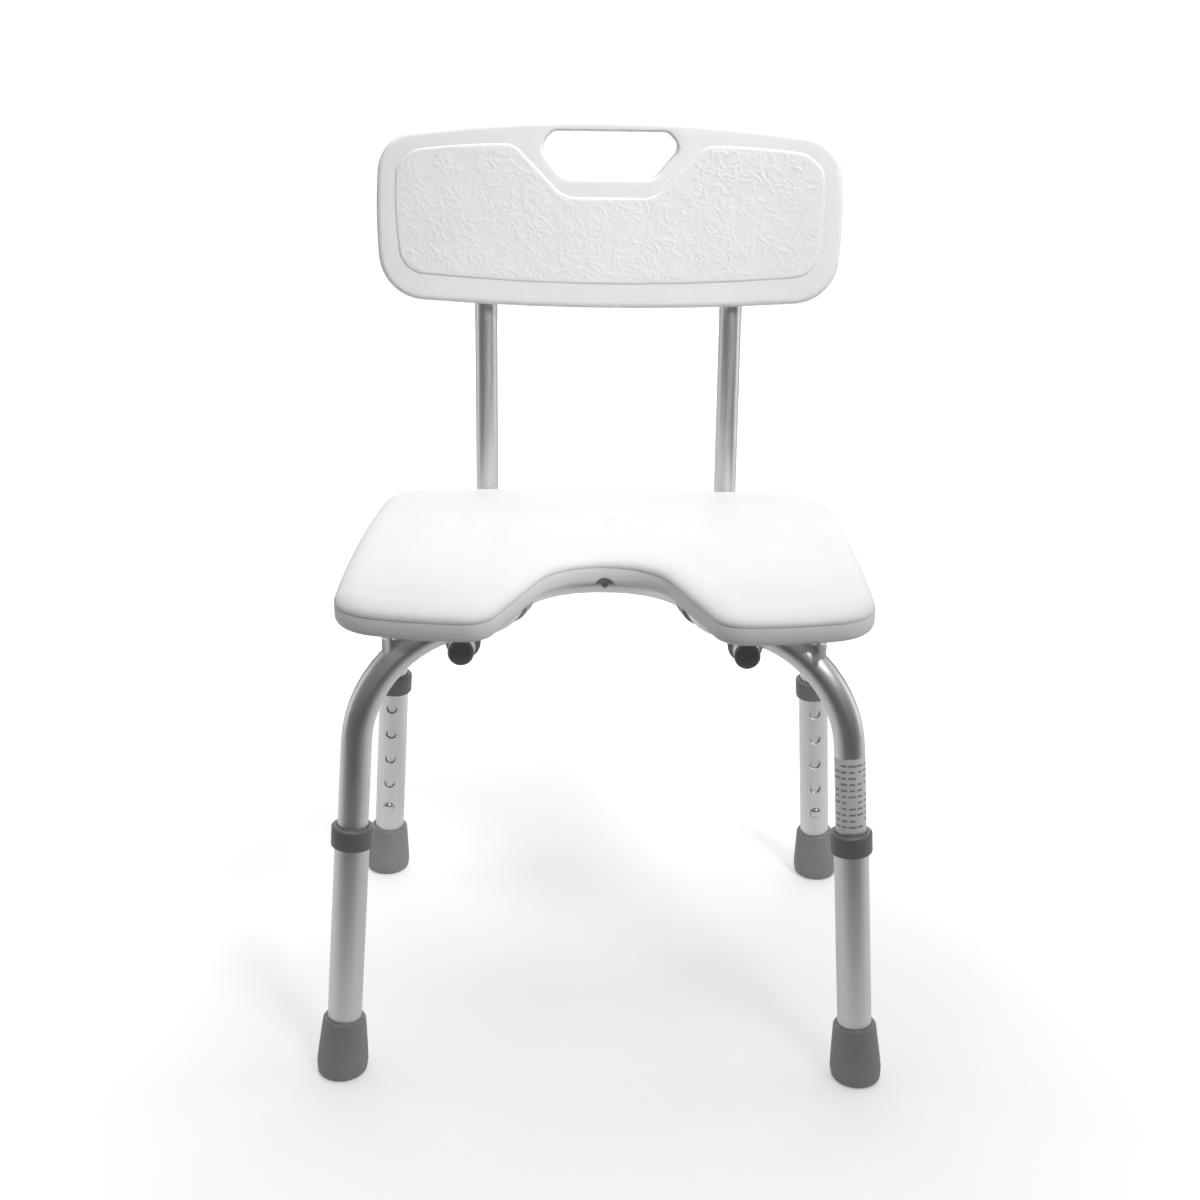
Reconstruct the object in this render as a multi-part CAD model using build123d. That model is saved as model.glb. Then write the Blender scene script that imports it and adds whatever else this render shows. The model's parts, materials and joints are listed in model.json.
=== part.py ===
from build123d import *
import math
import os

# Shower chair with a cut-out seat, four telescopic legs and a lift-away backrest.
# Millimetres. +Z is up, -Y is the front (where the seat is cut out), +X is the sitter's left.
# Everything is drawn about the middle of the four feet and moved back by FEET_OFFSET_Y at
# the end, so that the origin lies on the floor under the middle of the whole chair.

# --- legs and frame tubes ---------------------------------------------------------------
FRONT_FOOT_X = 194.5          # half the distance between the front feet, on the floor
REAR_FOOT_X = 198.5
FOOT_Y = 154.5                # half the distance between front and rear feet, on the floor
SPLAY = 4.0                   # degrees that each leg leans inwards, seen from any side
FRAME_Z = 345.0               # centre of the frame tubes where they run under the seat
FRAME_OD = 22.2
LEG_OD = 25.4
BACK_OD = 19.05
WALL = 1.2                    # of every tube
KNEE_R = 88.0                 # bend from leg to seat
KNEE_TURN_IN = 20.0           # degrees that the front knees turn back towards the cut-out
KNEE_RUN = 98.5               # from the front knee to the bend beside the cut-out
SIDE_BEND_R = 30.0
ARC_R = 66.0                  # bends behind the cut-out
ARC_CORNER = (54.0, -8.0)     # where the runs beside and behind the cut-out would meet
FRAME_END = 50.0              # height of the frame tube's open lower end, along the leg

# --- leg details, measured along the leg from the floor ------------------------------------
LEG_BOTTOM = 7.0
LEG_TOP = 196.0
HOLE_R = 4.75
HOLE_FIRST = 70.6
HOLE_PITCH = 25.4
HOLE_COUNT = 5
COLLAR_R = 15.4
COLLAR_BOTTOM = 185.5
COLLAR_TOP = 201.7
FOOT_TOP = 45.4
FOOT_TOP_R = 15.9
FOOT_BASE_R = 19.3
WASHER_THICK = 1.5
LABEL_BOTTOM = 204.0          # sticker on the front right-hand frame tube
LABEL_TOP = 261.0
LABEL_SKIN = 0.15

# --- snap buttons ---------------------------------------------------------------------------
BUTTON_R = 4.35
BUTTON_TIP = 14.9             # from the leg's axis to the top of the dome
BUTTON_SHOULDER = 13.3
SPRING_FACE = 9.1             # from the leg's axis to the outside of the spring strip
SPRING_THICK = 0.6
SPRING_WIDTH = 6.6
SPRING_LENGTH = 30.0

# --- seat -----------------------------------------------------------------------------------
SEAT_TOP = 372.0
SEAT_BOTTOM = 345.0
SEAT_SKIN = 3.2               # wall of the hollow moulding
SEAT_TOP_ROUND = 11.0
SEAT_BOTTOM_ROUND = 5.0
CHEEK_SHIFT = 0.7             # how far the cut-out's corners spread for each mm of inset
TUBE_GAP = 0.25               # play between a tube and the channel or saddle that holds it
LUG_IN = 18.0                 # lug's middle to the knee of the front tube, towards the middle
LUG_DROP = 10.0
LUG_THICK = 4.6
LUG_WIDTH = 24.0
WINDOW_R = 7.2                # arched notch in front of the centre screw

# --- saddles and guides under the seat ------------------------------------------------------
SADDLE_WALL = 2.0
SADDLE_LENGTH = 16.0
FRONT_SADDLE_FROM_CORNER = 53.0
REAR_SADDLE_X = 62.0
GUIDE_YS = {"front": -74.0, "rear": 94.0}
GUIDE_WALL = 3.0
GUIDE_LENGTH = 24.0
GUIDE_FLANGE = 3.0
GUIDE_SCREW_DX = 18.0         # from the post's axis to the guide's screws
GUIDE_SCREW_DY = 6.5

# --- backrest -------------------------------------------------------------------------------
POST_X = 103.0
POST_Z = 322.0                # centre of the posts where they run under the frame tubes
POST_FRONT_Y = -104.0
POST_REAR_Y = 173.6           # where the lower and upper runs would meet
POST_BEND_R = 45.0
RECLINE = 5.0                 # degrees that the backrest leans back
POST_RISE = 316.0             # upper run, along the post
PANEL_RISE = 195.3            # from the corner of the posts up to the panel's lower edge
PANEL_THICK = 25.0
PANEL_SKIN = 3.0
PANEL_ROUND = 6.0
POST_IN_PANEL = 4.6           # how far the posts' axes lie inside the panel's back face
PAD_PROUD = 1.6               # the raised pad stands this far out of the panel's face
SCREW_RISES = (240.0, 292.0)  # where the panel's screws cross the posts
SLIP_GAP = 0.3                # radial play of the posts in their guides

# --- fasteners ------------------------------------------------------------------------------
SCREW_HEAD_R = 3.8
SCREW_HEAD_H = 2.4
SCREW_R = 1.9
SCREW_BORE_PLAY = 0.1         # radial play of a screw in a tube
CENTRE_SCREW_Y = ARC_CORNER[1] - FRAME_OD / 2
CENTRE_SCREW_Z = FRAME_Z - 0.5

FEET_OFFSET_Y = -18.95        # the middle of the feet lies this far behind the origin

LEAN = math.tan(math.radians(SPLAY))
SIDES = {"left": -1, "right": 1}
LEGS = {"front_left": (-1, -1), "front_right": (1, -1), "rear_left": (-1, 1), "rear_right": (1, 1)}


def leg_plane(side_x, side_y):
    """Local frame of one leg: origin on the floor, +Z up the tube, +Y towards the holes."""
    foot_x = FRONT_FOOT_X if side_y < 0 else REAR_FOOT_X
    up = Vector(-side_x * LEAN, -side_y * LEAN, 1).normalized()
    towards = Vector(0, -side_y, 0)
    across = towards.cross(up)
    return Plane(origin=(side_x * foot_x, side_y * FOOT_Y, 0), x_dir=across, z_dir=up)


def leg_point(side_x, side_y, height):
    """Point on a leg's axis at this height above the floor."""
    foot_x = FRONT_FOOT_X if side_y < 0 else REAR_FOOT_X
    return (side_x * (foot_x - LEAN * height), side_y * (FOOT_Y - LEAN * height), height)


def revolved(points):
    """Solid of revolution about Z from (radius, height) points."""
    profile = make_face(Plane.XZ * Polyline(*points, close=True))
    return revolve(profile, Axis.Z)


def tube_along(path, outer_r, inner_r=None):
    """Tube, or solid rod when there is no inner radius, along a wire."""
    start = Plane(origin=path @ 0, z_dir=path % 0)
    section = start * Circle(outer_r)
    if inner_r:
        section -= start * Circle(inner_r)
    return sweep(section, path=path)


def cross_bore(radius, length, height):
    """Cylinder along +Y from the axis of a leg, at this height."""
    return Pos(0, length / 2, height) * Rot(90, 0, 0) * Cylinder(radius, length)


# --- frame ----------------------------------------------------------------------------------
def front_path():
    """Leg, knee, past the cut-out, round behind it, and back down the other leg."""
    turn = math.radians(KNEE_TURN_IN)
    right_knee = leg_point(1, -1, FRAME_Z)
    right_bend = (
        right_knee[0] - KNEE_RUN * math.cos(turn),
        right_knee[1] + KNEE_RUN * math.sin(turn),
        FRAME_Z,
    )
    half = [
        leg_point(1, -1, FRAME_END),
        right_knee,
        right_bend,
        (ARC_CORNER[0], ARC_CORNER[1], FRAME_Z),
    ]
    other = [(-x, y, z) for x, y, z in reversed(half)]
    radii = [KNEE_R, SIDE_BEND_R, ARC_R, ARC_R, SIDE_BEND_R, KNEE_R]
    return FilletPolyline(*half, *other, radius=radii)


def rear_path():
    half = [leg_point(1, 1, FRAME_END), leg_point(1, 1, FRAME_Z)]
    other = [(-x, y, z) for x, y, z in reversed(half)]
    return FilletPolyline(*half, *other, radius=KNEE_R)


def frame_tube(path, side_y):
    tube = tube_along(path, FRAME_OD / 2, FRAME_OD / 2 - WALL)
    for side_x in (-1, 1):
        hole = cross_bore(BUTTON_R + 0.15, LEG_OD, HOLE_FIRST)
        tube -= leg_plane(side_x, side_y).location * hole
    for name, place in saddle_places().items():
        if name.startswith("front") == (side_y < 0):
            tube -= place * Cylinder(SCREW_R + SCREW_BORE_PLAY, 2 * FRAME_OD)
    if side_y < 0:
        bore = Cylinder(SCREW_R + SCREW_BORE_PLAY, 3 * FRAME_OD)
        tube -= Pos(0, CENTRE_SCREW_Y, CENTRE_SCREW_Z) * Rot(90, 0, 0) * bore
    return tube


# --- seat -----------------------------------------------------------------------------------
def round_corners(sketch, corner_radii):
    """Round the corners nearest to each (x, y) and to its mirror image by the given radius."""
    for (x, y), radius in corner_radii.items():
        pair = [sketch.vertices().sort_by_distance((side * x, y, 0))[0] for side in (-1, 1)]
        sketch = fillet(pair, radius)
    return sketch


def mirrored_face(*right_half):
    """Face inside a right-hand outline and its mirror image. Each run of the outline is two
    points for a line or three for an arc."""
    edges = []
    for side in (1, -1):
        for run in right_half:
            points = [(side * x, y) for x, y in run]
            edges.append(ThreePointArc(*points) if len(points) == 3 else Line(*points))
    return make_face(edges)


def seat_edge(inset=0.0):
    """Outline of the seat seen from above, or of a smaller one this far inside it."""
    rear, side, front = 163.0 - inset, 193.4 - inset, -147.5 + inset
    rear_corner = (183.5 - inset, rear - 12)
    front_corner = (192.0 - inset, front + 19)
    lobe_corner = (82.0 + CHEEK_SHIFT * inset, front)
    cut_corner = (36.2 + CHEEK_SHIFT * inset, -25.0 + inset)
    edge = mirrored_face(
        [(0, rear), (92, rear - 3), rear_corner],
        [rear_corner, (side, 20), front_corner],
        [front_corner, (138, front + 4.6), lobe_corner],
        [lobe_corner, cut_corner],
        [cut_corner, (0, -25.0 + inset)],
    )
    radii = {
        rear_corner: 36 - inset,
        front_corner: 42 - inset,
        lobe_corner: 24 - inset,
        cut_corner: 50 + inset,
    }
    return round_corners(edge, radii)


def rounded_plate(edge, bottom, top, bottom_round, top_round):
    plate = extrude(Plane.XY.offset(bottom) * edge, amount=top - bottom)
    levels = plate.edges().group_by(Axis.Z)
    plate = fillet(levels[-1], top_round)
    return fillet(plate.edges().group_by(Axis.Z)[0], bottom_round)


def guide_screw_places():
    """Each place where a guide's screw enters the underside, as (x, y)."""
    return [
        (side * (POST_X + GUIDE_SCREW_DX), guide_y + dy)
        for side in SIDES.values()
        for guide_y in GUIDE_YS.values()
        for dy in (-GUIDE_SCREW_DY, GUIDE_SCREW_DY)
    ]


def seat_shell(front, rear):
    """Hollow moulding with channels for the frame tubes and a lug outside each front knee."""
    outer = rounded_plate(seat_edge(), SEAT_BOTTOM, SEAT_TOP, SEAT_BOTTOM_ROUND, SEAT_TOP_ROUND)
    floor, roof = SEAT_BOTTOM + SEAT_SKIN, SEAT_TOP - SEAT_SKIN
    cavity = rounded_plate(seat_edge(SEAT_SKIN), floor, roof, 2.0, SEAT_TOP_ROUND - SEAT_SKIN)
    channel_r = FRAME_OD / 2 + TUBE_GAP
    for path in (front, rear):
        cavity -= tube_along(path, channel_r + SEAT_SKIN)
    shell = outer - cavity
    for side in SIDES.values():
        shell += knee_lug(side)
    for path in (front, rear):
        shell -= tube_along(path, channel_r)
    for x, y in guide_screw_places():
        shell -= Pos(x, y, SEAT_BOTTOM) * Cylinder(SCREW_R + 0.05, 3 * SEAT_SKIN)
    for place in saddle_places().values():
        shell -= place * Pos(0, 0, channel_r) * Cylinder(SCREW_R + 0.05, 3 * SEAT_SKIN)
    shell -= screw_window()
    shell -= Pos(0, CENTRE_SCREW_Y, CENTRE_SCREW_Z) * Rot(-90, 0, 0) * Cylinder(
        SCREW_R + 0.05, 70, align=(Align.CENTER, Align.CENTER, Align.MIN)
    )
    return shell


def knee_lug(side):
    """Small wall under the seat that stops a front knee from moving outwards."""
    x, y, _ = leg_point(side, -1, FRAME_Z)
    place = Pos(x - side * LUG_IN, y, SEAT_BOTTOM - LUG_DROP / 2 + 1)
    wall = place * Box(LUG_THICK, LUG_WIDTH, LUG_DROP + 2)
    return fillet(wall.edges().filter_by(Axis.Z), 1.8)


def screw_window():
    """Arched notch at the foot of the cut-out's rear wall, open downwards, for the screw."""
    arch = Pos(0, CENTRE_SCREW_Y, CENTRE_SCREW_Z) * Rot(90, 0, 0) * Cylinder(WINDOW_R, 16)
    slot = Pos(0, CENTRE_SCREW_Y, CENTRE_SCREW_Z - WINDOW_R) * Box(2 * WINDOW_R, 16, 2 * WINDOW_R)
    return arch + slot


# --- saddles and guides under the seat ------------------------------------------------------
def side_run_angle():
    """Angle from +X of the run beside the cut-out, on the right."""
    turn = math.radians(KNEE_TURN_IN)
    knee = leg_point(1, -1, FRAME_Z)
    bend_x = knee[0] - KNEE_RUN * math.cos(turn)
    bend_y = knee[1] + KNEE_RUN * math.sin(turn)
    return math.atan2(ARC_CORNER[1] - bend_y, ARC_CORNER[0] - bend_x)


def tube_saddle(place):
    """Half round strap over a frame tube, with a hole for the screw that passes through both."""
    bore_r = FRAME_OD / 2 + TUBE_GAP
    ring = Cylinder(bore_r + SADDLE_WALL, SADDLE_LENGTH) - Cylinder(bore_r, SADDLE_LENGTH)
    strap = Rot(90, 0, 0) * ring
    strap &= Pos(0, 0, -FRAME_OD) * Box(2 * LEG_OD, SADDLE_LENGTH, 2 * FRAME_OD)
    strap -= Cylinder(SCREW_R + 0.2, 2 * LEG_OD)
    pad = Pos(0, 0, -bore_r - SADDLE_WALL + 0.2) * Cylinder(SCREW_HEAD_R + 1, 1.2)
    pad -= Cylinder(SCREW_R + 0.2, 2 * LEG_OD)
    return place * (strap + pad)


def saddle_places():
    """Location of each saddle, its +Y along the tube."""
    angle = side_run_angle()
    front_x = ARC_CORNER[0] - FRONT_SADDLE_FROM_CORNER * math.cos(angle)
    front_y = ARC_CORNER[1] - FRONT_SADDLE_FROM_CORNER * math.sin(angle)
    turn = math.degrees(angle) - 90
    places = {}
    for name, side in SIDES.items():
        rear_y = FOOT_Y - LEAN * FRAME_Z
        places[f"front_{name}"] = Pos(side * front_x, front_y, FRAME_Z) * Rot(0, 0, side * turn)
        places[f"rear_{name}"] = Pos(side * REAR_SADDLE_X, rear_y, FRAME_Z) * Rot(0, 0, 90)
    return places


def post_guide(side, guide_y):
    """Moulded eye that a backrest post slides through, with a flange on its outer side."""
    bore_r = BACK_OD / 2 + SLIP_GAP
    outer_r = bore_r + GUIDE_WALL
    drop = SEAT_BOTTOM - POST_Z
    eye = Rot(90, 0, 0) * Cylinder(outer_r, GUIDE_LENGTH)
    web = Pos(0, 0, drop / 2) * Box(2 * outer_r, GUIDE_LENGTH, drop)
    flange_out = GUIDE_SCREW_DX + 6
    flange = Box(flange_out, GUIDE_LENGTH, GUIDE_FLANGE)
    flange = Pos(flange_out / 2, 0, drop - GUIDE_FLANGE / 2) * flange
    guide = eye + web + flange
    guide = fillet(guide.edges().filter_by(Axis.Z).sort_by(Axis.X)[-2:], 4)
    guide -= Rot(90, 0, 0) * Cylinder(bore_r, GUIDE_LENGTH + 2)
    for dy in (-GUIDE_SCREW_DY, GUIDE_SCREW_DY):
        guide -= Pos(GUIDE_SCREW_DX, dy, drop) * Cylinder(SCREW_R + 0.2, 20)
    placed = Pos(POST_X, guide_y, POST_Z) * guide
    return placed if side > 0 else mirror(placed, Plane.YZ)


# --- fasteners ------------------------------------------------------------------------------
def pan_screw(length):
    """Pan-head screw with a cross recess: its head is below Z = 0 and its shank above."""
    head = revolved([
        (0, 0), (SCREW_HEAD_R, 0), (SCREW_HEAD_R, -0.9), (SCREW_HEAD_R - 0.7, -SCREW_HEAD_H + 0.4),
        (SCREW_HEAD_R - 1.6, -SCREW_HEAD_H), (0, -SCREW_HEAD_H),
    ])
    shank = revolved([
        (0, -0.1), (SCREW_R, -0.1), (SCREW_R, length - 2), (0.5, length), (0, length),
    ])
    screw = head + shank
    for angle in (45, 135):
        screw -= Pos(0, 0, -SCREW_HEAD_H) * Rot(0, 0, angle) * Box(4.4, 0.9, 2.6)
    return screw


def guide_screws():
    """The short screws of the post guides, each against its flange."""
    height = SEAT_BOTTOM - GUIDE_FLANGE
    return Compound(children=[Pos(x, y, height) * pan_screw(11) for x, y in guide_screw_places()])


def saddle_screws():
    """The long screws that pass through a saddle and its frame tube into the seat."""
    drop = FRAME_OD / 2 + TUBE_GAP + SADDLE_WALL + 0.4
    screw = Pos(0, 0, -drop) * pan_screw(drop + FRAME_OD / 2 + 8)
    return Compound(children=[place * screw for place in saddle_places().values()])


def centre_screw():
    """Screw through the frame tube behind the cut-out, its head facing forwards."""
    return Pos(0, CENTRE_SCREW_Y, CENTRE_SCREW_Z) * Rot(-90, 0, 0) * pan_screw(32)


# --- backrest -------------------------------------------------------------------------------
def post_path(side):
    lean = math.radians(RECLINE)
    top = (
        side * POST_X,
        POST_REAR_Y + POST_RISE * math.sin(lean),
        POST_Z + POST_RISE * math.cos(lean),
    )
    front = (side * POST_X, POST_FRONT_Y, POST_Z)
    corner = (side * POST_X, POST_REAR_Y, POST_Z)
    return FilletPolyline(front, corner, top, radius=POST_BEND_R)


def panel_plane():
    """Local frame of the panel: origin between the posts' axes at its lower edge, +Y up the
    panel, +Z towards the sitter."""
    lean = math.radians(RECLINE)
    origin = (
        0,
        POST_REAR_Y + PANEL_RISE * math.sin(lean),
        POST_Z + PANEL_RISE * math.cos(lean),
    )
    return Plane(origin=origin, x_dir=(1, 0, 0), z_dir=(0, -math.cos(lean), math.sin(lean)))


def panel_edge(inset=0.0):
    """Outline of the panel, or of a smaller one this far inside it."""
    top, bottom, side = 152.4 - inset, 1.0 + inset, 191.5 - inset
    top_corner = (side - 4.5, top - 14.5)
    low_corner = (side - 4.5, bottom + 7.5)
    edge = mirrored_face(
        [(0, top), (95, top - 3.5), top_corner],
        [top_corner, (side, 72), low_corner],
        [low_corner, (95, bottom + 2), (0, bottom)],
    )
    return round_corners(edge, {top_corner: 36 - inset, low_corner: 40 - inset})


def handle_edge(outset=0.0):
    """Outline of the handle opening, or of a larger one this far outside it."""
    top, bottom = 142.8 + outset, 107.3 - outset
    top_corner, wide = (47.0 + outset / 2, top), (57.5 + outset, 131.5)
    low_corner = (37.0 + outset / 2, bottom)
    edge = mirrored_face(
        [(0, top), top_corner],
        [top_corner, wide],
        [wide, low_corner],
        [low_corner, (0, bottom)],
    )
    return round_corners(edge, {top_corner: 8, wide: 9, low_corner: 14})


def pad_edge():
    """Outline of the raised pad, notched below the handle."""
    notch, shelf = (37.0, 90.7), (78.0, 132.5)
    top_corner, shoulder = (160.0, 127.3), (174.5, 115.0)
    low_corner = (170.5, 29.3)
    edge = mirrored_face(
        [(0, notch[1]), notch],
        [notch, shelf],
        [shelf, top_corner],
        [top_corner, shoulder],
        [shoulder, (175.2, 78), low_corner],
        [low_corner, (90, 22.8), (0, 20.8)],
    )
    return round_corners(edge, {notch: 24, shelf: 18, top_corner: 16, shoulder: 16, low_corner: 22})


def panel_shell():
    """Hollow moulded panel with a handle opening, a raised pad and channels for the posts."""
    back = -POST_IN_PANEL
    face = back + PANEL_THICK
    outer = extrude(Plane.XY.offset(back) * panel_edge(), amount=PANEL_THICK)
    rims = outer.edges().group_by(Axis.Z)
    outer = fillet(list(rims[-1]) + list(rims[0]), PANEL_ROUND)
    pad = extrude(Plane.XY.offset(face - 1) * pad_edge(), amount=1 + PAD_PROUD)
    outer += chamfer(pad.edges().group_by(Axis.Z)[-1], PAD_PROUD - 0.3)
    hollow = Plane.XY.offset(back + PANEL_SKIN) * panel_edge(PANEL_SKIN + 1.5)
    cavity = extrude(hollow, amount=PANEL_THICK - 2 * PANEL_SKIN)
    cavity -= extrude(Plane.XY.offset(back) * handle_edge(PANEL_SKIN), amount=PANEL_THICK)
    channel_r = BACK_OD / 2 + TUBE_GAP
    channel_top = POST_RISE - PANEL_RISE + 1
    for side in SIDES.values():
        cavity -= post_channel(side, channel_r + PANEL_SKIN, channel_top + PANEL_SKIN)
    shell = outer - cavity
    shell -= extrude(Plane.XY.offset(back - 1) * handle_edge(), amount=PANEL_THICK + 4)
    for side in SIDES.values():
        shell -= post_channel(side, channel_r, channel_top)
        for rise in SCREW_RISES:
            place = Pos(side * POST_X, rise - PANEL_RISE, channel_r)
            shell -= place * Cylinder(SCREW_R + 0.05, 12)
    return panel_plane().location * shell


def post_channel(side, radius, top):
    """Groove for a post, open at the panel's lower edge and at its back."""
    height = top + 20
    groove = Cylinder(radius, height) + Pos(0, radius, 0) * Box(2 * radius, 2 * radius, height)
    return Pos(side * POST_X, top - height / 2, 0) * Rot(-90, 0, 0) * groove


def back_post(side):
    post = tube_along(post_path(side), BACK_OD / 2, BACK_OD / 2 - WALL)
    for rise in SCREW_RISES:
        bore = Cylinder(SCREW_R + SCREW_BORE_PLAY, 2 * BACK_OD)
        post -= panel_plane().location * Pos(side * POST_X, rise - PANEL_RISE, 0) * bore
    return post


def panel_screws():
    screws = []
    for side in SIDES.values():
        for rise in SCREW_RISES:
            place = Pos(side * POST_X, rise - PANEL_RISE, -BACK_OD / 2 - 0.05)
            screws.append(panel_plane().location * place * pan_screw(26))
    return Compound(children=screws)


def post_plug(side):
    """Domed plug in the open front end of a post."""
    outer_r = BACK_OD / 2
    stem_r = outer_r - WALL - 0.05
    dome = revolved([
        (0, 0), (outer_r, 0), (outer_r, 2.6), (outer_r - 0.7, 4.4), (outer_r - 2.4, 5.8),
        (outer_r - 5, 6.5), (0, 6.8),
    ])
    stem = Pos(0, 0, -6) * Cylinder(stem_r, 12.2) - Pos(0, 0, -8) * Cylinder(stem_r - 1.8, 12)
    return Pos(side * POST_X, POST_FRONT_Y, POST_Z) * Rot(90, 0, 0) * (dome + stem)


# --- legs -----------------------------------------------------------------------------------
def leg_tube():
    length = LEG_TOP - LEG_BOTTOM
    tube = Cylinder(LEG_OD / 2, length) - Cylinder(LEG_OD / 2 - WALL, length)
    tube = Pos(0, 0, LEG_BOTTOM + length / 2) * tube
    for step in range(HOLE_COUNT):
        tube -= cross_bore(HOLE_R, LEG_OD, HOLE_FIRST + step * HOLE_PITCH)
    return tube


def leg_collar():
    """Plastic ring on the top of the leg tube, with a lip that guides the frame tube."""
    on_tube = LEG_OD / 2 + 0.1
    lip = FRAME_OD / 2 + 0.3
    ring = revolved([
        (on_tube, COLLAR_BOTTOM), (COLLAR_R - 0.8, COLLAR_BOTTOM), (COLLAR_R, COLLAR_BOTTOM + 0.8),
        (COLLAR_R, COLLAR_TOP - 2.6), (COLLAR_R - 0.8, COLLAR_TOP - 0.9), (COLLAR_R - 2.6, COLLAR_TOP),
        (lip, COLLAR_TOP), (lip, LEG_TOP + 0.1), (on_tube, LEG_TOP + 0.1),
    ])
    return ring


def leg_foot(plane):
    """Rubber tip: a rounded rim, a flared skirt and a ringed tread cut flat on the floor."""
    bore = LEG_OD / 2 + 0.05
    seat_z = LEG_BOTTOM - WASHER_THICK
    tip = revolved([
        (0, -4), (FOOT_BASE_R - 3.4, -4), (FOOT_BASE_R - 1.2, 2.2), (FOOT_BASE_R - 0.2, 4.4),
        (FOOT_BASE_R, 7), (FOOT_BASE_R - 0.4, 14), (FOOT_TOP_R + 1.4, FOOT_TOP - 12),
        (FOOT_TOP_R + 0.4, FOOT_TOP - 3.2), (FOOT_TOP_R, FOOT_TOP - 1.2),
        (FOOT_TOP_R - 0.9, FOOT_TOP), (bore, FOOT_TOP), (bore, seat_z), (0, seat_z),
    ])
    placed = plane.location * tip
    placed -= Pos(0, 0, -25) * Box(1000, 1000, 50)
    centre = plane.origin
    for ring_r in (6.0, 11.5):
        groove = Cylinder(ring_r + 1.0, 2.4) - Cylinder(ring_r - 1.0, 2.4)
        placed -= Pos(centre.X, centre.Y, 0) * groove
    return placed


def foot_washer():
    thick = WASHER_THICK - 0.1
    disc = Cylinder(LEG_OD / 2 - 0.2, thick) - Cylinder(4, thick)
    return Pos(0, 0, LEG_BOTTOM - 0.05 - thick / 2) * disc


# --- snap buttons ---------------------------------------------------------------------------
def snap_button():
    """Domed button with a rivet shank through the spring strip, along +Y at the first hole."""
    inner_face = SPRING_FACE - SPRING_THICK
    profile = revolved([
        (0, SPRING_FACE), (BUTTON_R, SPRING_FACE), (BUTTON_R, BUTTON_SHOULDER),
        (BUTTON_R - 0.35, BUTTON_SHOULDER + 0.7), (BUTTON_R - 1.3, BUTTON_TIP - 0.35),
        (BUTTON_R - 2.6, BUTTON_TIP - 0.05), (0, BUTTON_TIP),
    ])
    rivet = revolved([
        (0, inner_face - 0.6), (2.2, inner_face - 0.6), (2.2, inner_face), (1.4, inner_face),
        (1.4, SPRING_FACE + 0.1), (0, SPRING_FACE + 0.1),
    ])
    return Pos(0, 0, HOLE_FIRST) * Rot(-90, 0, 0) * (profile + rivet)


def button_spring():
    """Hairpin of spring strip inside the frame tube: it carries the button on one leg."""
    start = HOLE_FIRST - 5.5
    end = HOLE_FIRST + SPRING_LENGTH
    face = SPRING_FACE
    inner = SPRING_FACE - SPRING_THICK
    loop = Cylinder(face, SPRING_WIDTH) - Cylinder(inner, SPRING_WIDTH)
    loop &= Pos(0, face, 0) * Box(4 * face, 2 * face, SPRING_WIDTH)
    strip = Pos(0, 0, end) * Rot(0, 90, 0) * Rot(0, 0, 90) * loop
    for sign in (-1, 1):
        place = Pos(0, sign * (face + inner) / 2, (start + end) / 2)
        strip += place * Box(SPRING_WIDTH, SPRING_THICK, end - start)
    return strip - cross_bore(1.5, 12, HOLE_FIRST)


def info_label():
    """Blank sticker wrapped round the front of the right-hand front frame tube."""
    inner_r = FRAME_OD / 2 + 0.02
    wrap = Cylinder(inner_r + LABEL_SKIN, LABEL_TOP - LABEL_BOTTOM)
    wrap -= Cylinder(inner_r, LABEL_TOP - LABEL_BOTTOM)
    wrap &= Pos(0, -FRAME_OD / 2 - 1.5, 0) * Box(2 * FRAME_OD, FRAME_OD, LABEL_TOP)
    return leg_plane(1, -1).location * Pos(0, 0, (LABEL_BOTTOM + LABEL_TOP) / 2) * wrap


def build():
    front = front_path()
    rear = rear_path()
    nodes = {
        "seat": seat_shell(front, rear),
        "front_frame_tube": frame_tube(front, -1),
        "rear_frame_tube": frame_tube(rear, 1),
        "guide_screws": guide_screws(),
        "saddle_screws": saddle_screws(),
        "centre_screw": centre_screw(),
        "info_label": info_label(),
        "backrest_panel": panel_shell(),
        "panel_screws": panel_screws(),
    }
    for name, side in SIDES.items():
        nodes[f"back_post_{name}"] = back_post(side)
        nodes[f"post_plug_{name}"] = post_plug(side)
        for row, guide_y in GUIDE_YS.items():
            nodes[f"post_guide_{row}_{name}"] = post_guide(side, guide_y)
    for name, place in saddle_places().items():
        nodes[f"tube_saddle_{name}"] = tube_saddle(place)
    for name, (side_x, side_y) in LEGS.items():
        plane = leg_plane(side_x, side_y)
        nodes[f"leg_tube_{name}"] = plane.location * leg_tube()
        nodes[f"leg_collar_{name}"] = plane.location * leg_collar()
        nodes[f"leg_foot_{name}"] = leg_foot(plane)
        nodes[f"foot_washer_{name}"] = plane.location * foot_washer()
        nodes[f"snap_button_{name}"] = plane.location * snap_button()
        nodes[f"button_spring_{name}"] = plane.location * button_spring()
    return nodes


os.makedirs("parts", exist_ok=True)
for node_name, node_shape in build().items():
    export_step(Pos(0, FEET_OFFSET_Y, 0) * node_shape, f"parts/{node_name}.step")
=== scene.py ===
import json
import math

import bmesh
import bpy
import numpy as np
from mathutils import Matrix, Vector
from mathutils.geometry import delaunay_2d_cdt


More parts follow.
